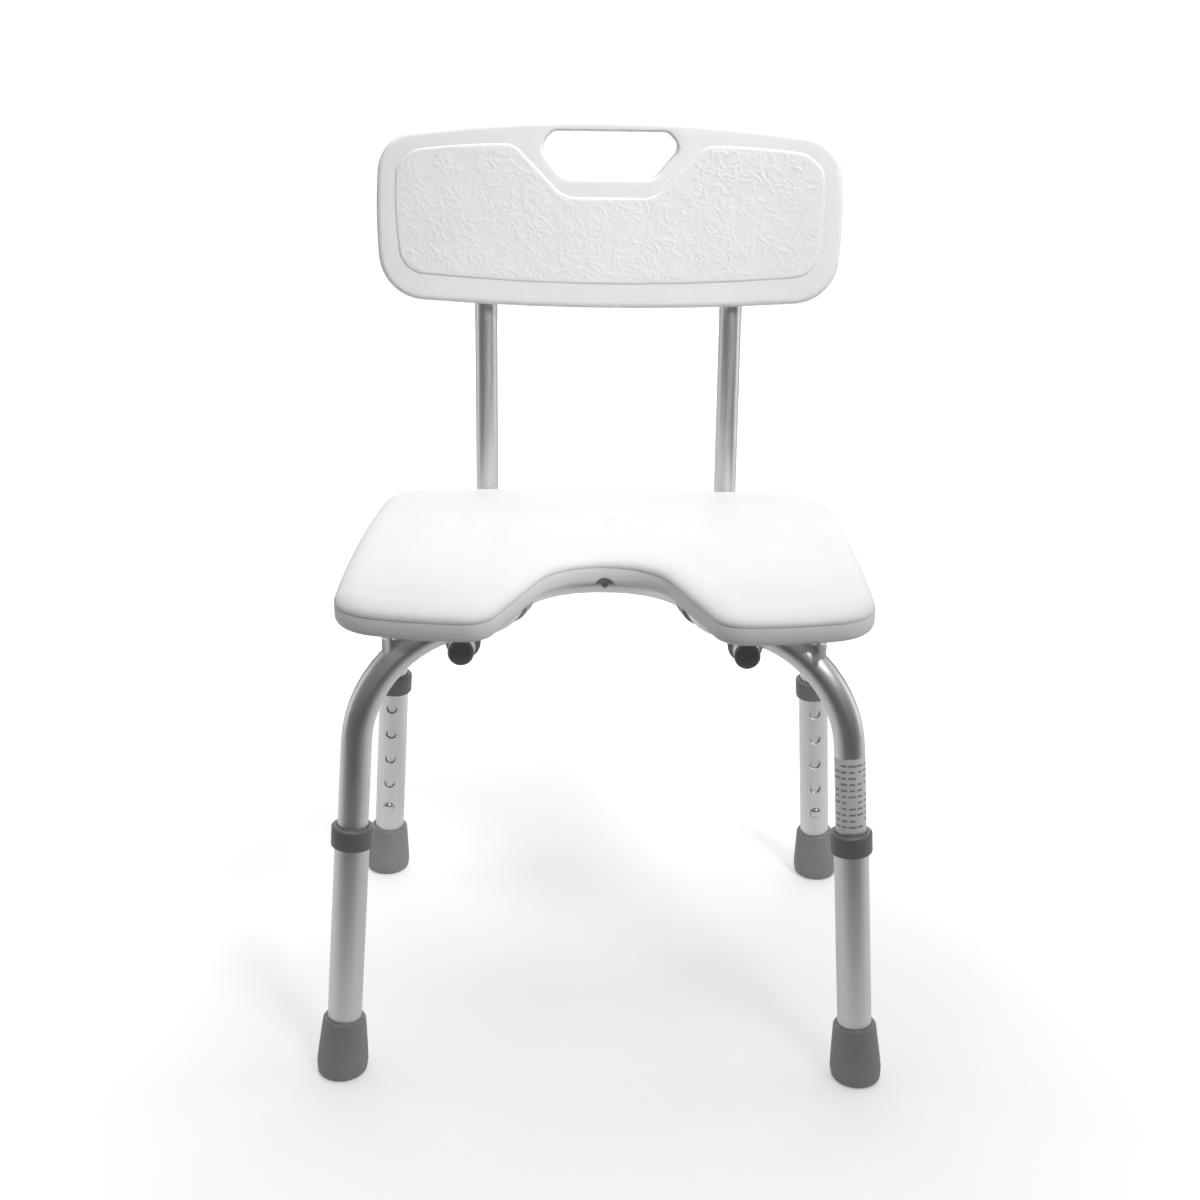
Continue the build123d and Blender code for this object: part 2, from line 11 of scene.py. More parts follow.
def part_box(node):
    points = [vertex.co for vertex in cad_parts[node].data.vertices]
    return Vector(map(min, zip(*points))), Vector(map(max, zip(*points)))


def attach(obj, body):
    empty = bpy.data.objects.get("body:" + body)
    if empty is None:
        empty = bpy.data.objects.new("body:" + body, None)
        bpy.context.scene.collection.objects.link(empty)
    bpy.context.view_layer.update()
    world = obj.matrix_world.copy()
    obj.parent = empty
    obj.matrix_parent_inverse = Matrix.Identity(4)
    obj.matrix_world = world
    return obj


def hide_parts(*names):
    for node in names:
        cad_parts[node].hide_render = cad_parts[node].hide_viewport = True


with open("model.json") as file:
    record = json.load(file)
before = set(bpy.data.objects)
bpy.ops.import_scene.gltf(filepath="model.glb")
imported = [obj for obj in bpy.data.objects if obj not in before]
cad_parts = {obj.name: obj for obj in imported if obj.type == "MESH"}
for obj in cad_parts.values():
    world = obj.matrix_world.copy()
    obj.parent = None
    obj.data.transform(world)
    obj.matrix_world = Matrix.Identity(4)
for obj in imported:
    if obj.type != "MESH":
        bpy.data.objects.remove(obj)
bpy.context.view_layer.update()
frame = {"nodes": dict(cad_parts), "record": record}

# Shapes below are drawn in millimetres about the middle of the four feet, +Z up and the open
# side of the seat towards -Y, and become metres in the frame when a piece is made.
MM = 0.001


def feet_middle_y():
    """Where the middle of the four feet lies in the frame, in metres."""
    ends = [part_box("leg_foot_front_left"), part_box("leg_foot_rear_left")]
    return sum((low.y + high.y) / 2 for low, high in ends) / 2


MIDDLE_Y = feet_middle_y()

# --- sizes of the legs and tubes ------------------------------------------------------------
FRONT_FOOT_X = 194.5
REAR_FOOT_X = 198.5
FOOT_Y = 154.5
SPLAY = math.radians(4.0)
FRAME_Z = 345.0
FRAME_R = 11.1
LEG_R = 12.7
POST_R = 9.525
WALL = 1.2
KNEE_R = 88.0
KNEE_TURN_IN = math.radians(20.0)
KNEE_RUN = 98.5
SIDE_BEND_R = 30.0
ARC_R = 66.0
ARC_CORNER = (54.0, -8.0)
FRAME_END = 50.0
TUBE_GAP = 0.25

# --- sizes of the seat ----------------------------------------------------------------------
SEAT_TOP = 371.8
SEAT_BOTTOM = 345.0
SEAT_TOP_ROUND = 20.0
SEAT_BOTTOM_ROUND = 5.0
SEAT_CROWN = 2.6              # how far the top falls away towards its edge
SEAT_DISH = 2.0               # depth of the hollow in each thigh rest
DIMPLE_Y = 59.0
PARTING_Z = 359.0             # height of the moulding's parting line
LUG_IN = 18.0                 # from a knee's corner towards the middle
LUG_BOTTOM = 335.0
LUG_HALF_WIDTH = 2.3
LUG_HALF_DEPTH = 12.0
LUG_CORNER_R = 2.0
WINDOW_R = 7.2
CENTRE_SCREW = (0.0, ARC_CORNER[1] - FRAME_R, 344.5)

# --- sizes of the backrest ------------------------------------------------------------------
POST_X = 103.0
POST_Z = 322.0
POST_FRONT_Y = -104.0
POST_REAR_Y = 173.6
POST_BEND_R = 45.0
PLUG_STEM = 6.0               # how far a plug reaches into its post
PLUG_RIM = 5.2
PLUG_DOME = 6.8
RECLINE = math.radians(5.0)
POST_RISE = 316.0
PANEL_RISE = 195.3
PANEL_BACK = -4.6
PANEL_FACE = 20.4
PANEL_ROUND = 5.0
HANDLE_ROUND = 5.0
HANDLE_TOP_ROUND = 2.0        # under the thin bar above the opening
PAD_PROUD = 1.6

# --- sizes along a leg ----------------------------------------------------------------------
LEG_BOTTOM = 7.0
LEG_TOP = 196.0
HOLE_R = 4.75
HOLE_FIRST = 70.6
HOLE_PITCH = 25.4
HOLE_COUNT = 5
COLLAR_R = 15.4
COLLAR_BOTTOM = 185.5
COLLAR_TOP = 201.7
FOOT_TOP = 45.4
FOOT_TOP_R = 15.9
FOOT_BASE_R = 19.25
BUTTON_R = 4.35
BUTTON_FOOT = 9.2
BUTTON_TIP = 14.85
BUTTON_DOME = 2.0
LABEL_BOTTOM = 204.0
LABEL_TOP = 261.0

LEAN = math.tan(SPLAY)
LEGS = {
    "front_left": (-1, -1),
    "front_right": (1, -1),
    "rear_left": (-1, 1),
    "rear_right": (1, 1),
}
SIDES = {"left": -1, "right": 1}


# --- outlines and paths -----------------------------------------------------------------------
def unit(vector):
    return vector / np.linalg.norm(vector)


def bend_through(points, radii, steps=14):
    """Polyline through the given corners with a true arc of each radius at each inner corner."""
    points = [np.asarray(p, float) for p in points]
    path = [points[0]]
    for before, corner, after, radius in zip(points, points[1:], points[2:], radii):
        into, out = unit(corner - before), unit(after - corner)
        turn = math.acos(np.clip(into @ out, -1, 1))
        start = corner - into * radius * math.tan(turn / 2)
        normal = unit(out - into * (into @ out))
        for step in range(steps + 1):
            angle = turn * step / steps
            sideways = normal * radius * (1 - math.cos(angle))
            path.append(start + into * radius * math.sin(angle) + sideways)
    path.append(points[-1])
    return np.array(path)


def outline(corners, steps=12):
    """Closed outline from corners (x, y, radius, swell): each side may swell outwards, which is
    to the left on the way round, and each corner is rounded."""
    count = len(corners)
    sides = []
    for here, there in zip(corners, corners[1:] + corners[:1]):
        start, end = np.array(here[:2], float), np.array(there[:2], float)
        along = end - start
        left = unit(np.array([-along[1], along[0]]))
        sides.append((start, along, left * 4 * here[3]))

    def point(side, t):
        start, along, swell = sides[side]
        return start + along * t + swell * t * (1 - t)

    path = []
    trims = []
    for k in range(count):
        into = unit(sides[k - 1][1] - sides[k - 1][2])
        out = unit(sides[k][1] + sides[k][2])
        turn = math.acos(np.clip(into @ out, -1, 1))
        trims.append((corners[k][2] * math.tan(turn / 2), math.cos(turn / 2)))
    for k in range(count):
        trim, weight = trims[k]
        start = point(k - 1, 1 - trim / np.linalg.norm(sides[k - 1][1]))
        end = point(k, trim / np.linalg.norm(sides[k][1]))
        corner = np.array(corners[k][:2], float)
        for t in np.linspace(0, 1, steps + 1):
            a, b, c = (1 - t) ** 2, 2 * weight * t * (1 - t), t**2
            path.append((start * a + corner * b + end * c) / (a + b + c))
        last = 1 - trims[(k + 1) % count][0] / np.linalg.norm(sides[k][1])
        first = trim / np.linalg.norm(sides[k][1])
        for t in np.linspace(first, last, 8)[1:-1]:
            path.append(point(k, t))
    return np.array(path)


def resample(path, spacing, closed=False):
    """Evenly spaced points along a polyline."""
    line = np.vstack([path, path[:1]]) if closed else path
    lengths = np.linalg.norm(np.diff(line, axis=0), axis=1)
    at = np.concatenate([[0], np.cumsum(lengths)])
    count = max(2, round(at[-1] / spacing))
    stops = np.linspace(0, at[-1], count + 1)
    if closed:
        stops = stops[:-1]
    return np.column_stack([np.interp(stops, at, line[:, k]) for k in range(line.shape[1])])


def inset(loop, distance):
    """The loop moved inwards, which is to the right on the way round."""
    ahead = np.roll(loop, -1, axis=0) - np.roll(loop, 1, axis=0)
    ahead /= np.linalg.norm(ahead, axis=1)[:, None]
    return loop + np.column_stack([ahead[:, 1], -ahead[:, 0]]) * np.reshape(distance, (-1, 1))


def leg_point(side_x, side_y, height):
    foot_x = FRONT_FOOT_X if side_y < 0 else REAR_FOOT_X
    return (side_x * (foot_x - LEAN * height), side_y * (FOOT_Y - LEAN * height), height)


def front_tube_path():
    knee = leg_point(1, -1, FRAME_Z)
    bend = (
        knee[0] - KNEE_RUN * math.cos(KNEE_TURN_IN),
        knee[1] + KNEE_RUN * math.sin(KNEE_TURN_IN),
        FRAME_Z,
    )
    half = [leg_point(1, -1, FRAME_END), knee, bend, (*ARC_CORNER, FRAME_Z)]
    other = [(-x, y, z) for x, y, z in reversed(half)]
    return bend_through(half + other, [KNEE_R, SIDE_BEND_R, ARC_R, ARC_R, SIDE_BEND_R, KNEE_R])


def rear_tube_path():
    half = [leg_point(1, 1, FRAME_END), leg_point(1, 1, FRAME_Z)]
    other = [(-x, y, z) for x, y, z in reversed(half)]
    return bend_through(half + other, [KNEE_R, KNEE_R], steps=20)


# --- mesh helpers -----------------------------------------------------------------------------
class Shell:
    """Vertices and faces of one piece, gathered surface by surface. Every vertex also keeps the
    place that its material's pattern follows."""

    def __init__(self):
        self.points = []
        self.places = []
        self.faces = []

    def add(self, points, places=None):
        """Adds points and returns their numbers."""
        first = len(self.points)
        self.points.extend(tuple(float(c) for c in p) for p in points)
        places = points if places is None else places
        self.places.extend(tuple(float(c) for c in p) for p in places)
        return list(range(first, first + len(points)))

    def band(self, lower, upper, closed=True):
        """Quads between two rows of the same length, or triangles where a row is one point."""
        count = len(lower)
        for k in range(count if closed else count - 1):
            n = (k + 1) % count
            face = tuple(dict.fromkeys((lower[k], lower[n], upper[n], upper[k])))
            if len(face) > 2:
                self.faces.append(face)

    def bands(self, rows, closed=True):
        for lower, upper in zip(rows, rows[1:]):
            self.band(lower, upper, closed)

    def fill(self, loops, height, grid):
        """Surface height(x, y) inside the first loop of numbered points and outside the rest,
        on points of a hexagonal grid."""
        rims = [np.array([self.points[k][:2] for k in loop]) for loop in loops]
        flat = np.vstack(rims)
        inner = hexagonal_grid(rims, grid)
        edges = []
        first = 0
        for rim in rims:
            count = len(rim)
            edges += [(first + k, first + (k + 1) % count) for k in range(count)]
            first += count
        every = np.vstack([flat, inner])
        result = delaunay_2d_cdt([Vector(p) for p in every], edges, [], 0, 1e-6)
        triangles, origin = result[2], result[3]
        numbers = [k for loop in loops for k in loop]
        numbers += self.add(np.column_stack([inner, height(inner[:, 0], inner[:, 1])]))
        corners = [tuple(origin[c][0] for c in t) for t in triangles]
        walls = {frozenset(edge) for edge in edges}
        self.faces.extend(tuple(numbers[k] for k in t) for t in room(corners, walls, every, rims))


def room(corners, walls, spots, rims):
    """The triangles reached from the largest one inside the rims without crossing a wall."""
    beside = {}
    for number, (a, b, c) in enumerate(corners):
        for pair in ((a, b), (b, c), (c, a)):
            beside.setdefault(frozenset(pair), []).append(number)
    places = spots[np.array(corners)]
    side, other = places[:, 1] - places[:, 0], places[:, 2] - places[:, 0]
    area = np.abs(side[:, 0] * other[:, 1] - side[:, 1] * other[:, 0])
    first = int(np.argmax(area * within(places.mean(axis=1), rims)))
    reached, waiting = {first}, [first]
    while waiting:
        a, b, c = corners[waiting.pop()]
        for pair in ((a, b), (b, c), (c, a)):
            pair = frozenset(pair)
            if pair in walls:
                continue
            new = [n for n in beside[pair] if n not in reached]
            reached.update(new)
            waiting.extend(new)
    return [corners[n] for n in sorted(reached)]


def within(spots, rims):
    """Which spots lie inside the first rim and outside the others."""
    inside = np.zeros(len(spots), bool)
    for rim in rims:
        for (x0, y0), (x1, y1) in zip(rim, np.roll(rim, -1, axis=0)):
            if y0 == y1:
                continue
            crosses = (spots[:, 1] < y0) != (spots[:, 1] < y1)
            at = x0 + (spots[:, 1] - y0) * (x1 - x0) / (y1 - y0)
            inside ^= crosses & (spots[:, 0] < at)
    return inside


def distance_to(spots, path):
    """Distance in plan from each spot to the nearest point of a dense path."""
    nearest = np.full(len(spots), np.inf)
    for chunk in np.array_split(path, max(1, len(path) // 40)):
        gap = spots[:, None, :] - chunk[None, :, :2]
        nearest = np.minimum(nearest, (gap**2).sum(axis=2).min(axis=1))
    return np.sqrt(nearest)


def hexagonal_grid(rims, grid):
    """Spots on a hexagonal grid inside the rims and clear of them."""
    low, high = rims[0].min(axis=0), rims[0].max(axis=0)
    rows = np.arange(low[1] + grid / 2, high[1], grid * math.sqrt(0.75))
    spots = []
    for number, y in enumerate(rows):
        x = np.arange(low[0] + (number % 2) * grid / 2, high[0], grid)
        spots.append(np.column_stack([x, np.full_like(x, y)]))
    spots = np.vstack(spots)
    spots = spots[within(spots, rims)]
    return spots[distance_to(spots, np.vstack(rims)) > 0.55 * grid]


def ring_round(radius, height, segments, start=0.0):
    angles = start + np.arange(segments) * 2 * math.pi / segments
    return np.column_stack([
        radius * np.cos(angles), radius * np.sin(angles), np.full(segments, height)
    ])


def lathe(shell, profile, segments=72, closed=False):
    """Surface of revolution about Z through (radius, height) points."""
    rows = []
    for radius, height in profile:
        if radius < 1e-6:
            rows.append(shell.add([(0, 0, height)]) * segments)
        else:
            rows.append(shell.add(ring_round(radius, height, segments)))
    shell.bands(rows + rows[:1] if closed else rows)


def sweep(shell, path, radius, segments=48, wall=None):
    """Tube, or rod when there is no wall, along a polyline. Its pattern follows the length."""
    ahead = np.diff(path, axis=0)
    ahead /= np.linalg.norm(ahead, axis=1)[:, None]
    tangents = np.vstack([ahead[:1], ahead[:-1] + ahead[1:], ahead[-1:]])
    tangents /= np.linalg.norm(tangents, axis=1)[:, None]
    along = np.concatenate([[0], np.cumsum(np.linalg.norm(np.diff(path, axis=0), axis=1))])
    side = unit(np.cross(tangents[0], (0.31, 0.95, 0.05)))
    angles = np.arange(segments) * 2 * math.pi / segments
    frames = []
    for tangent in tangents:
        side = unit(side - tangent * (side @ tangent))
        frames.append((side, np.cross(tangent, side)))

    def rings(size):
        rows = []
        for point, (across, up), length in zip(path, frames, along):
            circle = np.outer(np.cos(angles), across) + np.outer(np.sin(angles), up)
            places = ring_round(radius, length, segments)
            rows.append(shell.add(point + size * circle, places))
        return rows

    outer = rings(radius)
    shell.bands(outer)
    if wall is None:
        shell.faces.append(tuple(outer[0]))
        shell.faces.append(tuple(outer[-1]))
        return
    inner = rings(radius - wall)
    shell.bands(inner)
    shell.band(outer[0], inner[0])
    shell.band(outer[-1], inner[-1])


def new_object(name, shell, material, matrix=None, sharp=40.0):
    """Mesh object in the frame, in metres, at the origin."""
    points = np.array(shell.points, float)
    if matrix is not None:
        points = points @ np.array(matrix.to_3x3()).T + np.array(matrix.translation)
    points[:, 1] += MIDDLE_Y / MM
    mesh = bpy.data.meshes.new(name)
    mesh.from_pydata((points * MM).tolist(), [], shell.faces)
    places = mesh.attributes.new("pattern", "FLOAT_VECTOR", "POINT")
    places.data.foreach_set("vector", (np.array(shell.places) * MM).ravel())
    if material:
        mesh.materials.append(material)
    face_outwards(mesh)
    smooth_faces(mesh, sharp)
    piece = bpy.data.objects.new(name, mesh)
    bpy.context.scene.collection.objects.link(piece)
    return piece


def face_outwards(mesh):
    working = bmesh.new()
    working.from_mesh(mesh)
    bmesh.ops.recalc_face_normals(working, faces=working.faces)
    working.to_mesh(mesh)
    working.free()


def smooth_faces(mesh, sharp):
    mesh.shade_smooth()
    mesh.set_sharp_from_angle(angle=math.radians(sharp))


def settle(piece):
    """Makes what the piece's modifiers give its plain mesh, and returns that mesh."""
    bpy.context.view_layer.update()
    depsgraph = bpy.context.evaluated_depsgraph_get()
    mesh = bpy.data.meshes.new_from_object(piece.evaluated_get(depsgraph), depsgraph=depsgraph)
    piece.modifiers.clear()
    old = piece.data
    piece.data = mesh
    bpy.data.meshes.remove(old)
    mesh.name = piece.name
    return mesh


def discard(piece):
    mesh = piece.data
    bpy.data.objects.remove(piece)
    bpy.data.meshes.remove(mesh)


def carve(piece, cutters, sharp=40.0):
    """Cuts each of the closed cutters out of a closed piece."""
    for cutter in cutters:
        cut = piece.modifiers.new("cut", "BOOLEAN")
        cut.operation = "DIFFERENCE"
        cut.solver = "EXACT"
        cut.object = cutter
    smooth_faces(settle(piece), sharp)
    for cutter in cutters:
        discard(cutter)


def join(piece, other):
    """Adds the mesh of another piece to this one."""
    working = bmesh.new()
    working.from_mesh(piece.data)
    working.from_mesh(other.data)
    working.to_mesh(piece.data)
    working.free()
    discard(other)


def stand_for(piece, node, body):
    """The piece moves with a body and is shown in place of a CAD node."""
    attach(piece, body)
    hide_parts(node)
    return piece


# --- materials --------------------------------------------------------------------------------
class Value:
    """An output inside a material. Arithmetic on it adds Math nodes."""

    def __init__(self, finish, socket):
        self.finish = finish
        self.socket = socket

    def math(self, operation, *terms):
        return self.finish.node("ShaderNodeMath", dict(enumerate(terms)), operation=operation)

    def __add__(self, other):
        return self.math("ADD", self, other)

    def __radd__(self, other):
        return self.math("ADD", other, self)

    def __sub__(self, other):
        return self.math("SUBTRACT", self, other)

    def __rsub__(self, other):
        return self.math("SUBTRACT", other, self)

    def __mul__(self, other):
        return self.math("MULTIPLY", self, other)

    def __rmul__(self, other):
        return self.math("MULTIPLY", other, self)

    def __truediv__(self, other):
        return self.math("DIVIDE", self, other)

    def __rtruediv__(self, other):
        return self.math("DIVIDE", other, self)


class Finish:
    """A material whose pattern is built from nodes around one Principled shader."""

    def __init__(self, name, **constants):
        self.material = bpy.data.materials.new(name)
        self.material.use_nodes = True
        self.tree = self.material.node_tree
        self.shader = self.tree.nodes["Principled BSDF"]
        for socket, value in constants.items():
            self.shader.inputs[socket.replace("_", " ")].default_value = value

    def node(self, kind, inputs=None, output=0, **settings):
        """Any node, with its inputs linked or set, as a Value."""
        node = self.tree.nodes.new(kind)
        for key, value in settings.items():
            setattr(node, key, value)
        for key, value in (inputs or {}).items():
            self.feed(node.inputs[key], value)
        return Value(self, node.outputs[output])

    def feed(self, socket, value):
        if isinstance(value, Value):
            self.tree.links.new(value.socket, socket)
        else:
            socket.default_value = value

    def place(self, stretch=(1, 1, 1)):
        """The pattern's place on the piece, in metres, stretched by axis."""
        spot = self.node("ShaderNodeAttribute", output="Vector", attribute_name="pattern")
        return self.node("ShaderNodeMapping", {"Vector": spot, "Scale": stretch})

    def frame_place(self):
        """Place in the frame, for pieces that keep their CAD mesh."""
        spot = self.node("ShaderNodeTexCoord", output="Object")
        return self.node("ShaderNodeMapping", {"Vector": spot})

    def noise(self, place, scale, detail=2.0):
        inputs = {"Vector": place, "Scale": scale, "Detail": detail}
        return self.node("ShaderNodeTexNoise", inputs)

    def spread(self, value, low, high, start=0.3, end=0.7):
        """The value's middle range, mapped to low..high."""
        inputs = {
            "Value": value, "From Min": start, "From Max": end, "To Min": low, "To Max": high
        }
        return self.node("ShaderNodeMapRange", inputs)

    def blend(self, factor, first, second):
        """Two fixed colours mixed by the factor."""
        return self.mix_colour(factor, (*first, 1.0), (*second, 1.0))

    def mix_colour(self, factor, first, second):
        inputs = {0: factor, 6: first, 7: second}
        return self.node("ShaderNodeMix", inputs, output=2, data_type="RGBA")

    def finish_with(self, colour, roughness, relief=None, depth=0.00002):
        self.feed(self.shader.inputs["Base Color"], colour)
        self.feed(self.shader.inputs["Roughness"], roughness)
        if relief is not None:
            inputs = {"Height": relief, "Distance": depth, "Strength": 1.0}
            self.feed(self.shader.inputs["Normal"], self.node("ShaderNodeBump", inputs))
        return self.material


def grey(level):
    return (level, level, level)


CLOUD_SCALE = 30.0            # noise cells per metre of the soft clouds in plain finishes


def mottled(name, place_of, dark, light, rough, grain_scale, grain_depth):
    """Plain moulded finish: soft clouds of tone and gloss over a fine grain."""
    finish = Finish(name)
    place = getattr(finish, place_of)()
    cloud = finish.noise(place, CLOUD_SCALE, 3.0)
    grain = finish.noise(place, grain_scale, 2.0)
    tone = cloud * 0.75 + grain * 0.25
    colour = finish.blend(finish.spread(tone, 0, 1), dark, light)
    roughness = finish.spread(cloud, rough[0], rough[1])
    return finish.finish_with(colour, roughness, grain, grain_depth)


def white_plastic():
    finish = Finish("moulded_plastic", Subsurface_Weight=0.08, Subsurface_Scale=0.004)
    place = finish.place()
    cloud = finish.noise(place, 18.0, 3.0)
    grain = finish.noise(place, 900.0, 3.0)
    ripple = finish.noise(place, 55.0, 2.0)
    tone = cloud * 0.6 + ripple * 0.3 + grain * 0.1
    colour = finish.blend(finish.spread(tone, 0, 1), grey(0.82), grey(0.86))
    roughness = finish.spread(cloud * 0.5 + ripple * 0.5, 0.42, 0.54)
    return finish.finish_with(colour, roughness, grain + ripple * 2.0, 0.00003)


def aluminium():
    finish = Finish("anodised_aluminium", Metallic=1.0)
    lines = finish.noise(finish.place((1, 1, 0.012)), 1500.0, 3.0)
    streaks = finish.noise(finish.place((1, 1, 0.05)), 260.0, 2.0)
    cloud = finish.noise(finish.place(), 24.0, 2.0)
    tone = lines * 0.5 + streaks * 0.3 + cloud * 0.2
    colour = finish.blend(finish.spread(tone, 0, 1), (0.78, 0.782, 0.785), (0.87, 0.873, 0.876))
    roughness = finish.spread(tone, 0.36, 0.46)
    return finish.finish_with(colour, roughness, lines, 0.000008)


def chrome():
    finish = Finish("button_chrome", Metallic=1.0)
    wear = finish.noise(finish.place(), 700.0, 3.0)
    colour = finish.blend(finish.spread(wear, 0, 1), grey(0.72), grey(0.82))
    return finish.finish_with(colour, finish.spread(wear, 0.10, 0.2), wear, 0.000004)


def zinc():
    finish = Finish("steel_hardware", Metallic=1.0)
    plate = finish.noise(finish.frame_place(), 900.0, 3.0)
    colour = finish.blend(finish.spread(plate, 0, 1), (0.50, 0.50, 0.51), (0.66, 0.66, 0.68))
    return finish.finish_with(colour, finish.spread(plate, 0.28, 0.42), plate, 0.00001)


materials = {
    "moulded_plastic": white_plastic(),
    "anodised_aluminium": aluminium(),
    "foot_rubber": mottled(
        "foot_rubber", "place", grey(0.29), grey(0.34), (0.5, 0.64), 1600.0, 0.00003
    ),
    "collar_plastic": mottled(
        "collar_plastic", "place", grey(0.19), grey(0.22), (0.3, 0.4), 1800.0, 0.00001
    ),
    "plug_plastic": mottled(
        "plug_plastic", "place", grey(0.17), grey(0.21), (0.4, 0.5), 1800.0, 0.00001
    ),
    "bracket_plastic": mottled(
        "bracket_plastic", "frame_place", grey(0.42), grey(0.5), (0.4, 0.5), 1500.0, 0.00001
    ),
    "button_chrome": chrome(),
    "steel_hardware": zinc(),
    "label_paper": mottled(
        "label_film", "place", grey(0.90), grey(0.95), (0.35, 0.42), 900.0, 0.000004
    ),
}
label_ink = mottled(
    "label_ink", "place", grey(0.34), grey(0.42), (0.45, 0.55), 900.0, 0.000004
)


# --- seat -------------------------------------------------------------------------------------
def seat_outline():
    return outline([
        (183.5, 151.0, 36, 5.6),
        (192.0, -128.5, 42, 5.0),
        (82.0, -147.5, 24, 0),
        (36.2, -25.0, 50, 0),
        (-36.2, -25.0, 50, 0),
        (-82.0, -147.5, 24, 5.0),
        (-192.0, -128.5, 42, 5.6),
        (-183.5, 151.0, 36, 12.0),
    ])


def smooth(t):
    t = np.clip(t, 0, 1)
    return t * t * (3 - 2 * t)


def seat_top(rim):
    """Height of the crowned top, with a shallow dish in each thigh rest and a small dimple."""

    def height(x, y):
        edge = distance_to(np.column_stack([x, y]), rim)
        crown = SEAT_CROWN * (1 - smooth(edge / 46)) ** 1.6
        dish = np.exp(-(((np.abs(x) - 112) / 46) ** 2) - ((y + 18) / 74) ** 2)
        middle = np.exp(-((x / 60) ** 2) - ((y - 55) / 60) ** 2)
        dimple = 3.0 * np.exp(-(((x**2 + (y - DIMPLE_Y) ** 2) / 3.4**2) ** 1.5))
        return SEAT_TOP - crown - SEAT_DISH * dish - 0.5 * middle - dimple

    return height


def build_seat():
    edge = resample(seat_outline(), 3.0, closed=True)
    shell = Shell()
    rim = inset(edge, SEAT_TOP_ROUND)
    top = seat_top(rim)

    def ring(distance, z):
        loop = inset(edge, distance) if distance else edge
        level = np.full(len(loop), z) if np.isscalar(z) else z
        return shell.add(np.column_stack([loop, level]))

    rows = []
    for angle in np.linspace(0, math.pi / 2, 7):
        distance = SEAT_BOTTOM_ROUND * (1 - math.sin(angle))
        rows.append(ring(distance, SEAT_BOTTOM + SEAT_BOTTOM_ROUND * (1 - math.cos(angle))))
    for rise, depth in ((-0.9, 0.0), (-0.45, 0.35), (0, 0.5), (0.45, 0.35), (0.9, 0.0)):
        rows.append(ring(depth, PARTING_Z + rise))
    rim_z = top(rim[:, 0], rim[:, 1])
    drop = rim_z - (PARTING_Z + 1.0)
    for angle in np.linspace(0, math.pi / 2, 13):
        distance = SEAT_TOP_ROUND * (1 - math.cos(angle))
        rows.append(ring(distance, rim_z - drop * (1 - math.sin(angle))))
    shell.bands(rows)
    shell.fill([rows[-1]], top, 3.2)
    shell.faces.append(tuple(rows[0]))
    seat = new_object("seat_moulding", shell, materials["moulded_plastic"])
    cutters = []
    for path in (front_tube_path(), rear_tube_path()):
        channel = Shell()
        sweep(channel, path, FRAME_R + TUBE_GAP, 40)
        cutters.append(new_object("channel", channel, None))
    cutters.append(new_object("window", window_cutter(), None))
    carve(seat, cutters)
    lugs = Shell()
    for side in SIDES.values():
        knee_lug(lugs, side)
    join(seat, new_object("lugs", lugs, None))
    return stand_for(seat, "seat", "frame")


def window_cutter():
    """Arched solid that opens the foot of the cut-out's rear wall in front of the screw."""
    x, y, z = CENTRE_SCREW
    shell = Shell()
    arch = [(-WINDOW_R, -20.0), (WINDOW_R, -20.0)]
    for a in np.linspace(0, math.pi, 25):
        arch.append((WINDOW_R * math.cos(a), WINDOW_R * math.sin(a)))
    rows = [shell.add([(x + u, y + depth, z + v) for u, v in arch]) for depth in (-12.0, 8.0)]
    shell.bands(rows)
    shell.faces += [tuple(rows[0]), tuple(rows[1])]
    return shell


def knee_lug(shell, side):
    """Small rounded wall that hangs from the seat outside a front knee."""
    x, y, _ = leg_point(side, -1, FRAME_Z)
    x -= side * LUG_IN
    wide, deep, corner = LUG_HALF_WIDTH, LUG_HALF_DEPTH, LUG_CORNER_R
    signs = ((1, 1), (1, -1), (-1, -1), (-1, 1))
    plan = outline([(u * wide, v * deep, corner, 0) for u, v in signs], steps=4)
    rows = []
    top, low = SEAT_BOTTOM + 1, LUG_BOTTOM
    for shrink, z in ((0.0, top), (0.0, low + 1.2), (0.4, low + 0.3), (1.2, low)):
        loop = inset(plan, shrink) + (x, y)
        rows.append(shell.add(np.column_stack([loop, np.full(len(loop), z)])))
    shell.bands(rows)
    shell.faces += [tuple(rows[0]), tuple(rows[-1])]


